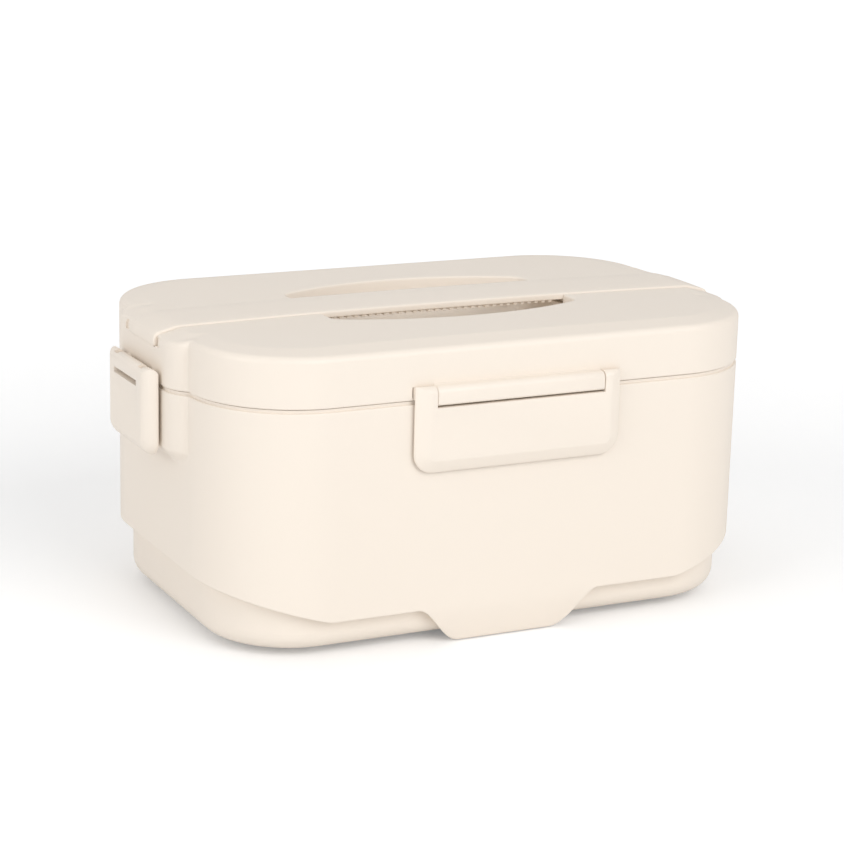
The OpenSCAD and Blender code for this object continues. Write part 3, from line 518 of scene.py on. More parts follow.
@dataclass
class Footprint:
    """The rounded plan of the box, with or without its two end pads, sampled evenly around."""

    width: float = 240.0
    depth: float = 156.0
    corner: float = 42.0
    pad_reach: float = 5.8
    pad_width: float = 76.8
    pad_corner: float = 14.4
    crease: float = 0.45
    count: int = 960
    samples: int = 24001
    window: int = 41
    turn_weight: float = 7.0
    turn_limit: float = 1.2
    theta: np.ndarray = field(init=False)

    def __post_init__(self) -> None:
        """Space the directions evenly along the outline, closer where it turns."""
        self.theta = np.linspace(0, 2 * math.pi, self.samples)
        r = self.padded(0.0)
        x, y = r * np.cos(self.theta), r * np.sin(self.theta)
        step = np.hypot(np.diff(x), np.diff(y))
        turn = np.abs(np.diff(np.unwrap(np.arctan2(np.diff(y), np.diff(x)))))
        turn = np.convolve(np.append(turn, turn[0]), np.ones(self.window) / self.window, mode="same")
        pace = step * (1 + self.turn_weight * np.minimum(turn / step, self.turn_limit))
        run = np.concatenate([[0.0], np.cumsum(pace)])
        want = np.linspace(0, run[-1], self.count, endpoint=False)
        self.theta = np.interp(want, run, self.theta)

    def ray(self, half_w: float, half_d: float, r: float) -> np.ndarray:
        """Distance from the middle to a rounded rectangle, in each direction.

        Args:
            half_w: Half width.
            half_d: Half depth.
            r: Corner radius.

        Returns:
            One distance for each direction.
        """
        c, s = np.abs(np.cos(self.theta)), np.abs(np.sin(self.theta))
        c, s = np.maximum(c, 1e-9), np.maximum(s, 1e-9)
        side, end = half_w / c, half_d / s
        px, py = half_w - r, half_d - r
        dot = px * c + py * s
        bend = dot + np.sqrt(np.maximum(dot * dot - (px * px + py * py) + r * r, 0.0))
        return np.where(side * s <= py, side, np.where(end * c <= px, end, bend))

    def plain(self, inset: float) -> np.ndarray:
        """Distances to the outline without pads, drawn in by inset."""
        return self.ray(self.width / 2 - inset, self.depth / 2 - inset, self.corner - inset)

    def padded(self, inset: float, reach: float | None = None) -> np.ndarray:
        """Distances to the outline with pads.

        Args:
            inset: How far it is drawn in.
            reach: How far the pads stand out, or None for all the way.

        Returns:
            One distance for each direction.
        """
        reach = self.pad_reach if reach is None else reach
        pad = self.ray(self.width / 2 + reach - inset, self.pad_width / 2 - inset, max(self.pad_corner - inset, 1.0))
        return smooth_max(self.plain(inset), pad, self.crease)

    def ring(self, radius: np.ndarray, z: float | np.ndarray) -> np.ndarray:
        """Points at these distances and this height."""
        return np.stack([radius * np.cos(self.theta), radius * np.sin(self.theta),
                         np.broadcast_to(z, radius.shape)], axis=1)


PLAN = Footprint()


@dataclass(frozen=True)
class Hinge:
    """The rear hinge's axis, along X, with its two sets of knuckles."""

    y: float = 79.4
    z: float = 100.35
    radius: float = 3.4
    room: float = 3.8
    middles: Pair = (-48.0, 48.0)

    def rod(self, name: str, start: float, end: float, radius: float, soft: float) -> Piece:
        """Make a rod on the axis from one x to another."""
        return Forge.rod(name, (start, self.y, self.z), (end, self.y, self.z), radius, soft)


HINGE = Hinge()
FRONT_AXIS = (80.0, 104.1)  # outwards and up, for the front latch
SIDE_AXIS = (130.0, 104.4)  # and for the side latches


@dataclass
class Shell:
    """The body shell with its front and rear tabs, end pads and catch ribs."""

    top: float = 99.6
    top_round: float = 0.7
    wall: float = 2.4
    edge: float = 15.8
    flat: float = 75.5
    rise: float = 16.0
    bend: float = 18.0
    tab_foot: float = 20.0
    tab_top: float = 40.3
    tab_low: float = 0.4
    tab_lean: float = 3.7
    tab_side: float = 60.0
    lean_from: float = 16.0
    lip: float = 0.8
    lip_depth: float = 5.0
    lip_height: float = 2.4
    join: float = 34.0
    climb: tuple[float, ...] = (0.02, 0.05, 0.09, 0.13, 0.18, 0.24, 0.30, 0.36, 0.42, 0.5, 0.6, 0.72, 0.86, 1.0)
    below_pads: tuple[float, ...] = (46.0, 58.0, 66.0, 69.6, 70.2)
    pad_low: float = 70.8
    pad_full: float = 77.9
    pad_step: float = 0.4
    pad_round: float = 1.2
    beside_pads: tuple[float, ...] = (82.0, 90.0, 98.0)

    def low_edge(self, x: np.ndarray) -> np.ndarray:
        """Height of the lower edge at each x.

        Args:
            x: Distances from the middle.

        Returns:
            Heights in millimetres.
        """
        a = np.abs(x)
        t = np.clip((a - self.tab_foot) / (self.tab_top - self.tab_foot), 0, 1) ** 1.15
        tab = self.tab_low + t * t * (3 - 2 * t) * (self.edge - self.tab_low)
        angle = math.radians(self.rise)
        run = self.bend * math.sin(angle)
        d = np.clip(a - self.flat, 0, run)
        curve = self.bend - np.sqrt(self.bend ** 2 - d * d)
        return tab + curve + np.maximum(a - (self.flat + run), 0) * math.tan(angle)

    def lean(self, z: np.ndarray) -> np.ndarray:
        """How far the tab leans in at each height."""
        t = np.clip((self.lean_from - z) / (self.lean_from - self.tab_low), 0, 1)
        return self.tab_lean * t ** 1.4

    def ring(self, inset: float, z: float | np.ndarray, reach: float | None = None) -> np.ndarray:
        """One ring of the wall.

        Args:
            inset: How far it is drawn in.
            z: Height, or that of each point.
            reach: How far the pads stand out, or None below them.

        Returns:
            The ring's points.
        """
        pts = PLAN.ring(PLAN.plain(inset) if reach is None else PLAN.padded(inset, reach), z)
        pts[:, 1] -= np.sign(pts[:, 1]) * self.lean(pts[:, 2]) * (np.abs(pts[:, 0]) < self.tab_side)
        return pts

    def build_wall(self) -> Piece:
        """Skin the wall from its inner face round the lower edge and up to the seam.

        Returns:
            The wall.
        """
        low, full = self.low_edge(PLAN.ring(PLAN.plain(0.0), 0.0)[:, 0]), PLAN.pad_reach
        rings = [self.ring(self.wall, z) for z in (self.top - 0.2, 60.0, 40.0)]
        rings += [self.ring(self.wall, low + self.lip_height), self.ring(self.lip_depth, low + self.lip_height),
                  self.ring(self.lip_depth, low + 0.3), self.ring(self.lip_depth - 0.4, low)]
        rings += [self.ring(self.lip * (1 - s), low + self.lip * (1 - c)) for c, s in quarter(0, 90, 5)]
        start = low + self.lip
        rings += [self.ring(0.0, start + (self.join - start) * v) for v in self.climb]
        rings += [self.ring(0.0, z) for z in self.below_pads]
        for z in np.arange(self.pad_low, self.pad_full, self.pad_step):
            reach = float(smooth_min(z - self.pad_low, full, self.pad_round))
            rings.append(self.ring(0.0, z, min(reach, full)))
        rings += [self.ring(0.0, z, full) for z in self.beside_pads]
        rings += [self.ring(self.top_round * (1 - c), self.top - self.top_round * (1 - s), full)
                  for c, s in quarter(0, 90, 5)]
        rings.append(self.ring(self.wall, self.top - 0.01, full))
        return Forge.loft("shell_wall", rings + [rings[0]], Cap.OPEN)

    def build_catches(self) -> Piece:
        """Make the ribs that the latches close over.

        Returns:
            The ribs.
        """
        parts = [Forge.box("rib", (-30, -79.0, 92.0), (30, -77.0, 94.0), 0.45)]
        parts += [Forge.box("rib", (s * 124.8, -10, 90.3), (s * 126.8, 10, 92.3), 0.45) for s in (-1, 1)]
        return Forge.gather("catch_ribs", parts)

    def build_knuckles(self) -> Piece:
        """Make the shell's hinge knuckles with their webs.

        Returns:
            The knuckles.
        """
        parts = []
        for middle in HINGE.middles:
            for s in (-1, 1):
                a, b = sorted((middle + s * 7.0, middle + s * 15.0))
                parts.append(HINGE.rod("knuckle", a, b, HINGE.radius, 0.4))
                parts.append(Forge.box("web", (a + 0.2, 77.0, 91.4), (b - 0.2, 81.4, 100.3), 0.6))
        return Forge.gather("shell_knuckles", parts)

    def build(self) -> None:
        """Build and dress the shell."""
        wall = self.build_wall()
        grooves = [HINGE.rod("groove", m - 7.0, m + 7.0, HINGE.room, 0.05) for m in HINGE.middles]
        Forge.combine(wall, grooves, Op.CUT)
        for piece in (wall, self.build_catches(), self.build_knuckles()):
            Dresser.place(piece, "box", "body_shell")


@dataclass
class Lid:
    """The domed lid with its finger well, latch barrel, lugs and hinge knuckles."""

    low: float = 101.1
    low_round: float = 0.7
    wall: float = 2.4
    wall_heights: tuple[float, ...] = (104.0, 108.0, 112.0, 115.5)
    side: float = 118.4
    crown: float = 123.15
    fall_x: float = 1.4
    fall_y: float = 0.25
    edge_round: float = 2.8
    margin: float = 121.3
    margin_width: float = 10.8
    insets: tuple[float, ...] = (2.9, 3.4, 4.2, 5.2, 7.0, 9.0, 10.2, 10.6, 10.9, 11.3, 12.0, 15.0, 18.0, 22.0, 28.0)
    end_drop: float = 1.4
    well_half: float = 55.0
    well_arc: float = 130.0
    well_reach: float = 37.6
    well_floor: float = 107.1
    well_draft: float = 0.6
    well_round: float = 3.5
    rim_round: float = 0.9
    strip_room: float = 14.7
    barrel_half: float = 36.6
    barrel_round: float = 2.7
    lug_out: float = 13.8
    lug_half: float = 1.75

    def edge_fall(self) -> np.ndarray:
        """How far the edge is lowered in each direction: only over the end pads."""
        share = np.clip((PLAN.padded(0.0) - PLAN.plain(0.0)) / PLAN.pad_reach, 0, 1)
        return self.end_drop * share * share * (3 - 2 * share)

    def dome(self, pts: np.ndarray, inset: float) -> np.ndarray:
        """Height of the top at each point.

        Args:
            pts: Points with x and y in millimetres.
            inset: Distance from the outline.

        Returns:
            Heights in millimetres.
        """
        flat = 1 - 0.45 * (pts[:, 1] / 66) ** 2
        crown = self.crown - self.fall_x * (pts[:, 0] / 120) ** 2 * flat - self.fall_y * (pts[:, 1] / 72) ** 2
        edge = self.margin - self.edge_fall()
        share = (inset - self.edge_round) / (self.margin_width - self.edge_round)
        share = float(smooth_min(np.array(share), np.array(1.0), 0.08)) if share < 1.1 else 1.0
        return edge + (crown - edge) * min(share, 1.0)

    def top_ring(self, radius: np.ndarray, inset: float) -> np.ndarray:
        """Points at these distances, on the dome at this inset."""
        pts = PLAN.ring(radius, 0.0)
        pts[:, 2] = self.dome(pts, inset)
        return pts

    def well(self, inset: float) -> np.ndarray:
        """Distances from the middle to the finger well's outline, drawn in by inset.

        Args:
            inset: How far it is drawn in.

        Returns:
            One distance for each direction.
        """
        c, s = np.abs(np.cos(PLAN.theta)), np.abs(np.sin(PLAN.theta))
        off = self.well_arc - self.well_reach
        bow = -s * off + np.sqrt(s * s * off * off - off * off + (self.well_arc - inset) ** 2)
        end = (self.well_half - inset) / np.maximum(c, 1e-6)
        return smooth_min(bow, end, 5.0)

    def build_cover(self) -> Piece:
        """Skin the lid from its inner face over the wall and dome into the well.

        Returns:
            The cover.
        """
        rings = [PLAN.ring(PLAN.padded(self.wall), 103.3), PLAN.ring(PLAN.padded(self.wall), self.low + 0.3),
                 PLAN.ring(PLAN.padded(self.wall - 0.3), self.low)]
        rings += [PLAN.ring(PLAN.padded(self.low_round * (1 - s)), self.low + self.low_round * (1 - c))
                  for c, s in quarter(0, 90, 5)]
        rings += [PLAN.ring(PLAN.padded(0.0), z) for z in self.wall_heights]
        fall = self.edge_fall()
        rings += [PLAN.ring(PLAN.padded(self.edge_round * (1 - c)), self.side + (self.margin - self.side) * s - fall)
                  for c, s in quarter(0, 78, 9)]
        rings += [self.top_ring(PLAN.padded(inset), inset) for inset in self.insets]
        inner, rim, soft = self.insets[-1], self.well(0.0), self.rim_round
        start, goal = PLAN.padded(inner), self.well(-soft)
        rings += [self.top_ring(start + (goal - start) * t, inner + 40 * t) for t in (0.25, 0.5, 0.75, 0.9, 1.0)]
        height = self.dome(PLAN.ring(rim, 0.0), 60.0)
        rings += [PLAN.ring(self.well(-soft * (1 - c)), height - soft * (1 - s)) for c, s in quarter(90, 0, 5)[1:]]
        floor, draft, deep = self.well_floor, self.well_draft, self.well_round
        for v in (0.25, 0.5, 0.75, 1.0):
            rings.append(PLAN.ring(self.well(draft * v), height - soft + (floor + deep - height + soft) * v))
        rings += [PLAN.ring(self.well(draft + deep * (1 - c)), floor + deep * (1 - s))
                  for c, s in quarter(0, 90, 6)[1:]]
        rings += [PLAN.ring(self.well(draft + deep) * t, floor) for t in (0.75, 0.45, 0.2)]
        return Forge.loft("lid_cover_skin", rings, angle=28.0)

    def cutters(self) -> list[Piece]:
        """Make the shapes that leave room for strip, ears and hinge.

        Returns:
            The shapes.
        """
        wide, (out, z) = self.strip_room, FRONT_AXIS
        cuts = [Forge.box("room", (-119, -wide, 118.7), (119, wide, 140), 0)]
        for s, middle in zip((-1, 1), HINGE.middles, strict=True):
            cuts += [Forge.box("room", (s * 118.0, -wide, 119.7), (s * 140.0, wide, 140), 0),
                     Forge.box("room", (s * 124.6, -wide, 114.8), (s * 140.0, wide, 130), 0),
                     Forge.box("room", (s * 124.6, -18.7, 115.4), (s * 140.0, 18.7, 119.1), 0.4),
                     Forge.rod("room", (s * self.barrel_half, -out, z), (s * 45.5, -out, z), 3.1, 0.05)]
            cuts += [HINGE.rod("room", middle + e * 6.6, middle + e * 15.4, HINGE.room, 0.05) for e in (-1, 1)]
        return cuts

    def build_barrel(self) -> Piece:
        """Make the round-topped barrel between the front latch's ears.

        Returns:
            The barrel.
        """
        y0, z0, r = -FRONT_AXIS[0], FRONT_AXIS[1], self.barrel_round
        outline = [(-78.35, 99.35), (-79.6, 99.35)]
        outline += [(-81.5 - 1.2 * s, 100.55 - 1.2 * c) for c, s in quarter(0, 90, 6)]
        outline += [(y0 - r * c, z0 + r * s) for c, s in quarter(0, 84, 12)]
        outline += [(-79.0, 106.82), (-78.3, 107.0), (-77.6, 107.5), (-76.9, 108.2), (-76.9, 101.5), (-78.35, 101.2)]
        right = [(18, 0.0), (36.2, 0.0), (36.45, -0.1), (self.barrel_half, -0.35)]
        rings = []
        for x, grow in [(-x, g) for x, g in reversed(right)] + [(0, 0.0)] + right:
            ring = []
            for y, z in outline:
                v = np.array([y - y0, z - z0])
                v = v * (1 + grow / max(np.linalg.norm(v), 1e-6)) if y < -77.0 else v
                ring.append((x, y0 + v[0], z0 + v[1]))
            rings.append(ring)
        return Forge.loft("latch_barrel", rings, angle=40.0)

    def build_lugs(self) -> Piece:
        """Make the lugs that carry the side latches.

        Returns:
            The lugs.
        """
        parts = []
        out, z = SIDE_AXIS
        for s in (-1, 1):
            for e in (-1, 1):
                y0, y1 = e * self.lug_out - self.lug_half, e * self.lug_out + self.lug_half
                parts.append(Forge.rod("lug", (s * out, y0, z), (s * out, y1, z), 2.1, 0.3))
                parts.append(Forge.box("lug", (s * 125.0, y0 + 0.05, 103.2), (s * out, y1 - 0.05, 105.6), 0.25))
        return Forge.gather("latch_lugs", parts)

    def build_knuckles(self) -> Piece:
        """Make the lid's hinge knuckles with their webs.

        Returns:
            The knuckles.
        """
        parts = []
        for m in HINGE.middles:
            parts += [HINGE.rod("knuckle", m - 6.6, m + 6.6, HINGE.radius, 0.4),
                      Forge.box("web", (m - 6.4, 76.0, 100.4), (m + 6.4, 81.4, 107.3), 0.7)]
        return Forge.gather("lid_knuckles", parts)

    def build(self) -> None:
        """Build and dress the lid."""
        cover = self.build_cover()
        Forge.combine(cover, self.cutters(), Op.CUT, 28.0)
        for piece in (cover, self.build_barrel(), self.build_lugs(), self.build_knuckles()):
            Dresser.place(piece, "lid", "lid_cover")


@dataclass
class CarryStrip:
    """The strip across the lid with its turned-down ends and the ribbed grip under it."""

    half: float = 14.4
    top: float = 123.8
    fall: float = 1.2
    fall_half: float = 120.0
    bend: float = 116.5
    slope: float = 0.26
    end: float = 126.4
    corner: float = 3.0
    leg_low: float = 115.1
    thick: float = 2.7
    seat: float = 4.6
    seat_from: float = 56.5
    bend_thick: float = 2.1
    leg_thick: float = 1.8
    edge: float = 0.9
    low_edge: float = 0.35
    span: tuple[int, ...] = (0, 10, 20, 30, 40, 48, 56, 57, 60, 66, 76, 86, 96, 106, 113)
    turn: tuple[float, ...] = (0.0, 0.14, 0.28, 0.42, 0.56, 0.7, 0.85, 1.0)
    pitch: float = 3.3
    ribs: int = 15
    rib_half: float = 0.8

    def surface(self, x: float) -> float:
        """Height of the strip's top at x."""
        return self.top - self.fall * (min(x, self.bend) / self.fall_half) ** 2 - self.slope * max(x - self.bend, 0.0)

    def stations(self) -> list[tuple[float, float, float, float]]:
        """Follow the strip from its left end to its right one.

        Returns:
            At each point its x, its z, the lean of its outward direction and its thickness.
        """
        tilt, r = math.atan(self.slope), self.corner
        mid_x = self.end - r
        mid_z = self.surface(mid_x + r * math.sin(tilt)) - r * math.cos(tilt)
        right = [(x, self.surface(x), 2 * self.fall * x / self.fall_half ** 2,
                  self.thick if x < self.seat_from else self.seat) for x in self.span]
        right += [(115.6, self.surface(115.6), 0.05, 3.2), (116.5, self.surface(116.5) - 0.03, tilt * 0.5, 3.0),
                  (117.4, self.surface(117.4), tilt * 0.95, 2.8), (120.0, self.surface(120.0), tilt, 2.2)]
        for share in self.turn:
            a = tilt + (math.pi / 2 - tilt) * share
            right.append((mid_x + r * math.sin(a), mid_z + r * math.cos(a), a,
                          self.bend_thick + (self.leg_thick - self.bend_thick) * share))
        right += [(self.end, z, math.pi / 2, self.leg_thick) for z in (117.0, 116.2, self.leg_low + 0.5)]
        return [(-x, z, -a, t) for x, z, a, t in reversed(right[1:])] + right

    def section(self, thick: float, shrink: float) -> list[Pair]:
        """Outline across the strip.

        Args:
            thick: Its thickness there.
            shrink: How far the outline is drawn in.

        Returns:
            Distances along Y and depths below the strip's surface.
        """
        h, e, low = self.half - shrink, self.edge, self.low_edge
        pts = [(h - e + e * math.sin(a), -e + e * math.cos(a) - shrink * 0.6)
               for a in np.linspace(0, math.pi / 2, 6)]
        pts += [(h - low + low * math.cos(a), -thick + low - low * math.sin(a) + shrink)
                for a in np.linspace(0, math.pi / 2, 4)]
        top = [(-(h - e) * 0.5, 0.05), (0.0, 0.08), ((h - e) * 0.5, 0.05)]
        return pts + [(-y, n) for y, n in reversed(pts)] + [(y, n - shrink * 0.6) for y, n in top]

    def build_strip(self) -> Piece:
        """Sweep the strip's section from end to end.

        Returns:
            The strip.
        """
        spots, ease = self.stations(), [(0.5, 0.3), (0.12, 0.1)]
        path = [(spots[0], drop, shrink) for drop, shrink in ease] + [(spot, 0.0, 0.0) for spot in spots]
        path += [(spots[-1], drop, shrink) for drop, shrink in reversed(ease)]
        rings = [[(x + math.sin(a) * n, y, z - drop + math.cos(a) * n) for y, n in self.section(t, shrink)]
                 for (x, z, a, t), drop, shrink in path]
        return Forge.loft("carry_strip_skin", rings, angle=38.0)

    def build_grip(self) -> Piece:
        """Make the ribbed grip under the strip's middle.

        Returns:
            The grip.
        """
        roof, w = self.top - self.thick, self.rib_half
        parts = [Forge.box("plate", (-50, -12.9, roof - 0.5), (50, 12.9, roof + 0.05), 0.15)]
        for x in (i * self.pitch for i in range(-self.ribs, self.ribs + 1)):
            parts.append(Forge.box("rib", (x - w, -13.3, roof - 1.3), (x + w, 13.3, roof - 0.1), 0.3))
        return Forge.gather("ribbed_grip", parts)

    def build(self) -> None:
        """Build and dress the strip."""
        Dresser.place(self.build_strip(), "lid", "carry_strip")
        Dresser.place(self.build_grip(), "lid", "strip_grip")


@dataclass
class LatchPlate:
    """A rounded plate with bevelled sides, cut to a round-topped profile.

    It is built flat: a is the way across, out the way outwards from the wall and z up.
    """

    name: str
    half: float
    corner: float
    back: float
    rim: float
    face: float
    bevel: float
    convex: float
    place: Callable[[float, float, float], Point]
    foot: float = 72.4
    high: float = 116.0
    bends: int = 12
    reach: float = 60.0

    def ring(self, inset: float, out: float) -> list[Point]:
        """Outline of the plate at a distance from the wall.

        Args:
            inset: How far it is drawn in.
            out: Distance outwards.

        Returns:
            The ring's points.
        """
        h, r, low = self.half - inset, max(self.corner - inset, 0.8), self.foot + inset
        pts = [(h, self.high)] + [(h - r + r * c, low + r - r * s) for c, s in quarter(0, 90, 14)]
        pts += [(-(h - r + r * s), low + r - r * c) for c, s in quarter(0, 90, 14)] + [(-h, self.high)]
        return [self.place(a, out, z) for a, z in pts]

    def blank(self) -> Piece:
        """Make the plate before its top is shaped.

        Returns:
            The plate.
        """
        steps = [(0.4, self.back), (0.1, self.back + 0.1), (0.0, self.back + 0.4), (0.0, self.rim - 0.2)]
        span, rise, bulge = self.bevel, self.face - self.rim, self.convex
        for t in (i / self.bends for i in range(1, self.bends)):
            bent, run = math.sin(t * math.pi / 2), 1 - math.cos(t * math.pi / 2)
            steps.append((span * (t * (1 - bulge) + run * bulge), self.rim + rise * (t * (1 - bulge) + bent * bulge)))
        steps += [(span - 0.12, self.face - 0.05), (span + 0.3, self.face)]
        return Forge.loft(self.name + "_skin", [self.ring(inset, out) for inset, out in steps], Cap.FACE)

    def build(self, outline: Sequence[Pair], cuts: Sequence[tuple], ease: float) -> None:
        """Shape the plate, open it and dress it.

        Args:
            outline: Its section, as pairs of out and z.
            cuts: Two corners, in a, out and z, and the rounding of each block to take out.
            ease: Rounding of its edges.
        """
        latch = self.blank()
        ends = [[self.place(a, out, z) for out, z in outline] for a in (-self.reach, self.reach)]
        Forge.combine(latch, [Forge.loft("profile", ends, Cap.FACE)], Op.KEEP)
        blocks = [Forge.box("cut", self.place(*low), self.place(*high), soft) for low, high, soft in cuts]
        Forge.combine(latch, blocks, Op.CUT)
        Forge.ease_edges(latch, ease)
        Dresser.place(latch, self.name + "_body", self.name)


@dataclass
class FrontLatch:
    """The wide latch on the front, hung from a barrel on the lid."""

    step: float = 36.9
    top: float = 98.6
    ear: Pair = (2.8, 2.8)
    back: float = 79.3
    front: float = 83.5
    low: float = 60.0

    def build(self) -> None:
        """Build and dress the front latch."""
        plate = LatchPlate("front_latch", half=45.0, corner=8.0, back=77.15, rim=80.0, face=82.8, bevel=5.2,
                           convex=0.12, place=lambda a, out, z: (a, -out, z))
        z = FRONT_AXIS[1]
        outline = [(self.back, self.low), (self.back, z - 2.71)]
        outline += arc(FRONT_AXIS, self.ear, np.linspace(255, 180, 8)[1:])
        outline += arc(FRONT_AXIS, self.ear, np.linspace(172, 0, 22))
        outline += [(self.front, z - 0.1), (self.front, self.low)]
        plate.build(outline, [((-self.step, 70.0, self.top), (self.step, 90.0, 120.0), 0),
                              ((-34, 70.0, 78.6), (34, 80.5, 89.5), 0.3),
                              ((-34, 70.0, 91.4), (34, 80.5, 95.6), 0.3)], 0.4)


@dataclass
class SideLatch:
    """A latch on an end, the left one a mirror image of the right one."""

    side: int
    ear: Pair = (3.0, 3.2)
    back: float = 126.0
    front: float = 134.0
    low: float = 60.0

    def build(self) -> None:
        """Build and dress the side latch."""
        plate = LatchPlate("left_latch" if self.side < 0 else "right_latch", half=22.5, corner=7.0, back=127.1,
                           rim=128.2, face=133.0, bevel=5.0, convex=0.55,
                           place=lambda a, out, z: (self.side * out, a, z))
        z = SIDE_AXIS[1]
        outline = [(self.back, self.low), (self.back, z)]
        outline += arc(SIDE_AXIS, self.ear, np.linspace(165, 0, 24))
        outline += [(self.front, z - 0.1), (self.front, self.low)]
        plate.build(outline, [((-12.8, 120, 99.45), (12.8, 140, 101.75), 0.3),
                              ((-14, 120, 80.4), (14, 128.3, 88.3), 0.3),
                              ((-14, 120, 90.1), (14, 128.3, 97.6), 0.3),
                              ((-15.85, 120, 102.9), (-11.75, 131.8, 112), 0.3),
                              ((11.75, 120, 102.9), (15.85, 131.8, 112), 0.3)], 0.35)


class KeptSolids:
    """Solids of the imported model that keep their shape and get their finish."""

    finishes: tuple[tuple[Finish, tuple[str, ...]], ...] = (
        (CREAM, ("base_tray",)),
        (LINER, ("inner_liner", "inner_lid")),
        (SEAL, ("lid_gasket", "steam_vent")),
        (STEEL, ("base_screws", "lid_screws", "strip_screws", "front_latch_pin", "left_latch_pin",
                 "right_latch_pin", "hinge_pins", "heater_clamp", "inlet_pins")),
        (DARK, ("thermostat", "power_inlet")),
        (FIBRE, ("insulation_pad", "thermal_fuse")),
        (FOOT, ("rubber_feet",)),
        (POT, ("inner_pot",)),
        (PLATE, ("heating_plate",)),
        (HEATER, ("heating_ring",)),
        (WIRE, ("inner_wires",)),
    )

    def build(self) -> None:
        """Dress each kept node."""
        for finish, names in self.finishes:
            for name in names:
                Dresser.node(name, finish)


# Studio


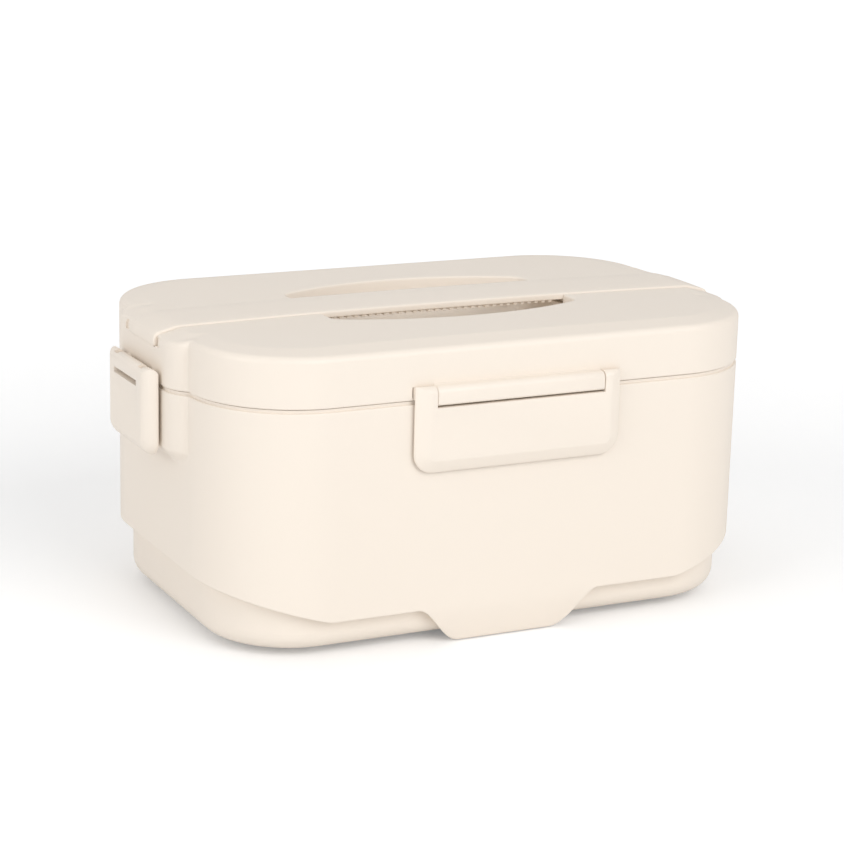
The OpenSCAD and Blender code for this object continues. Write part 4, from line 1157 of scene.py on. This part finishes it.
@dataclass
class Studio:
    """Camera, lamps, floor and backdrop."""

    focal_px: float = 2466.8
    frame_px: float = 844.0
    sensor: float = 36.0
    yaw: float = -26.497
    pitch: float = 14.755
    roll: float = 1.45
    distance: float = 1031.9
    target: Point = (-2.207, 0.0, 69.562)
    aim: Point = (0.0, 0.0, 0.06)
    lamps: tuple[tuple[str, Point, float, float], ...] = (("key_lamp", (0.3, -1.55, 1.0), 1.1, 13.1),
                                                          ("top_lamp", (-0.2, 0.2, 1.6), 1.4, 1.4),
                                                          ("left_lamp", (-1.6, -0.5, 0.7), 1.0, 7.2))
    room_light: float = 0.58
    floor_white: float = 0.92
    floor_half: float = 2400.0
    floor_front: float = -1.6
    floor_rear: float = 0.9
    sweep: float = 0.6
    wall_top: float = 2.2

    def camera(self) -> None:
        """Place the camera where the photograph was taken from."""
        yaw, pitch, roll = (math.radians(v) for v in (self.yaw, self.pitch, self.roll))
        back = Vector((math.sin(yaw) * math.cos(pitch), -math.cos(yaw) * math.cos(pitch), math.sin(pitch)))
        ahead = -back
        right = ahead.cross(Vector((0, 0, 1))).normalized()
        up = right.cross(ahead)
        right, up = (right * math.cos(roll) + up * math.sin(roll)), (up * math.cos(roll) - right * math.sin(roll))
        place = (Vector(self.target) + back * self.distance) * MM
        data = bpy.data.cameras.new("photo_camera")
        data.sensor_width = self.sensor
        data.sensor_fit = "HORIZONTAL"
        data.lens = self.focal_px * self.sensor / self.frame_px
        data.clip_start = 0.05
        data.clip_end = 50.0
        cam = bpy.data.objects.new("photo_camera", data)
        cam.matrix_world = Matrix.Translation(place) @ Matrix((right, up, back)).transposed().to_4x4()
        bpy.context.scene.collection.objects.link(cam)
        bpy.context.scene.camera = cam

    def lamp(self, name: str, place: Point, size: float, power: float) -> None:
        """Hang a square soft lamp that points at the box.

        Args:
            name: Name of the lamp.
            place: Where it hangs, in metres.
            size: Length of its sides in metres.
            power: Power in watts.
        """
        data = bpy.data.lights.new(name, "AREA")
        data.shape = "SQUARE"
        data.size = size
        data.energy = power
        lamp = bpy.data.objects.new(name, data)
        lamp.location = place
        lamp.rotation_euler = (Vector(self.aim) - Vector(place)).to_track_quat("-Z", "Y").to_euler()
        bpy.context.scene.collection.objects.link(lamp)

    def white(self) -> bpy.types.Material:
        """Make the floor's white, which glows for the camera, weakly near the box and more away from it: painted shade
        on the floor around the box, on top of the lamps' real shadows.

        Returns:
            The material.
        """
        mat = bpy.data.materials.new("studio_white")
        mat.use_nodes = True
        net, nodes = Net(mat.node_tree), mat.node_tree.nodes
        shader = nodes["Principled BSDF"]
        net.feed(shader, {"Base Color": (self.floor_white, self.floor_white, self.floor_white, 1),
                          "Roughness": 0.9, "Specular IOR Level": 0.1})
        # painted shade: the camera-only glow rises from 0.18 near the box to 0.36 away from it, so the floor is
        # painted darker around the box
        away = net.add("VectorMath", {0: net.add("TexCoord").outputs["Object"]}, operation="LENGTH")
        lift = net.add("MapRange", {"Value": away.outputs["Value"], "From Min": 0.25, "From Max": 0.75,
                                    "To Min": 0.18, "To Max": 0.36})
        glow = net.add("Emission", {"Strength": lift})
        both = net.add("AddShader", {0: shader, 1: glow})
        seen = net.add("MixShader", {"Fac": net.add("LightPath").outputs["Is Camera Ray"], 1: shader, 2: both})
        net.feed(nodes["Material Output"], {"Surface": seen})
        return mat

    def backdrop(self) -> None:
        """Lay a floor that curves up behind."""
        rows = [(self.floor_front, 0.0), (self.floor_rear, 0.0)]
        rows += [(self.floor_rear + self.sweep * math.sin(a), self.sweep - self.sweep * math.cos(a))
                 for a in np.linspace(0.1, math.pi / 2, 14)]
        rows += [(self.floor_rear + self.sweep, self.wall_top)]
        verts = [(x, y * 1000, z * 1000) for y, z in rows for x in (-self.floor_half, self.floor_half)]
        faces = [(2 * i, 2 * i + 1, 2 * i + 3, 2 * i + 2) for i in range(len(rows) - 1)]
        floor = Forge.obj("studio_floor", verts, faces, 60.0)
        floor.data.materials.append(self.white())

    def world(self) -> None:
        """Light the room evenly and show white to the camera."""
        world = bpy.data.worlds.new("studio_room")
        world.use_nodes = True
        world.node_tree.nodes.clear()
        net = Net(world.node_tree)
        room, seen = (net.add("Background", {"Color": (1, 1, 1, 1), "Strength": v}) for v in (self.room_light, 1.0))
        mix = net.add("MixShader", {"Fac": net.add("LightPath").outputs["Is Camera Ray"], 1: room, 2: seen})
        net.add("OutputWorld", {"Surface": mix})
        bpy.context.scene.world = world

    def build(self) -> None:
        """Set up the whole studio."""
        bpy.context.scene.view_settings.view_transform = "Standard"
        self.camera()
        for lamp in self.lamps:
            self.lamp(*lamp)
        self.backdrop()
        self.world()


def main() -> None:
    """Build every sub-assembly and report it."""
    logging.basicConfig(level=logging.INFO, format="%(message)s")
    Studio().build()
    for part in (Shell(), Lid(), CarryStrip(), FrontLatch(), SideLatch(-1), SideLatch(1), KeptSolids()):
        LOG.info("building %s", type(part).__name__)
        part.build()


if __name__ == "__main__":
    main()
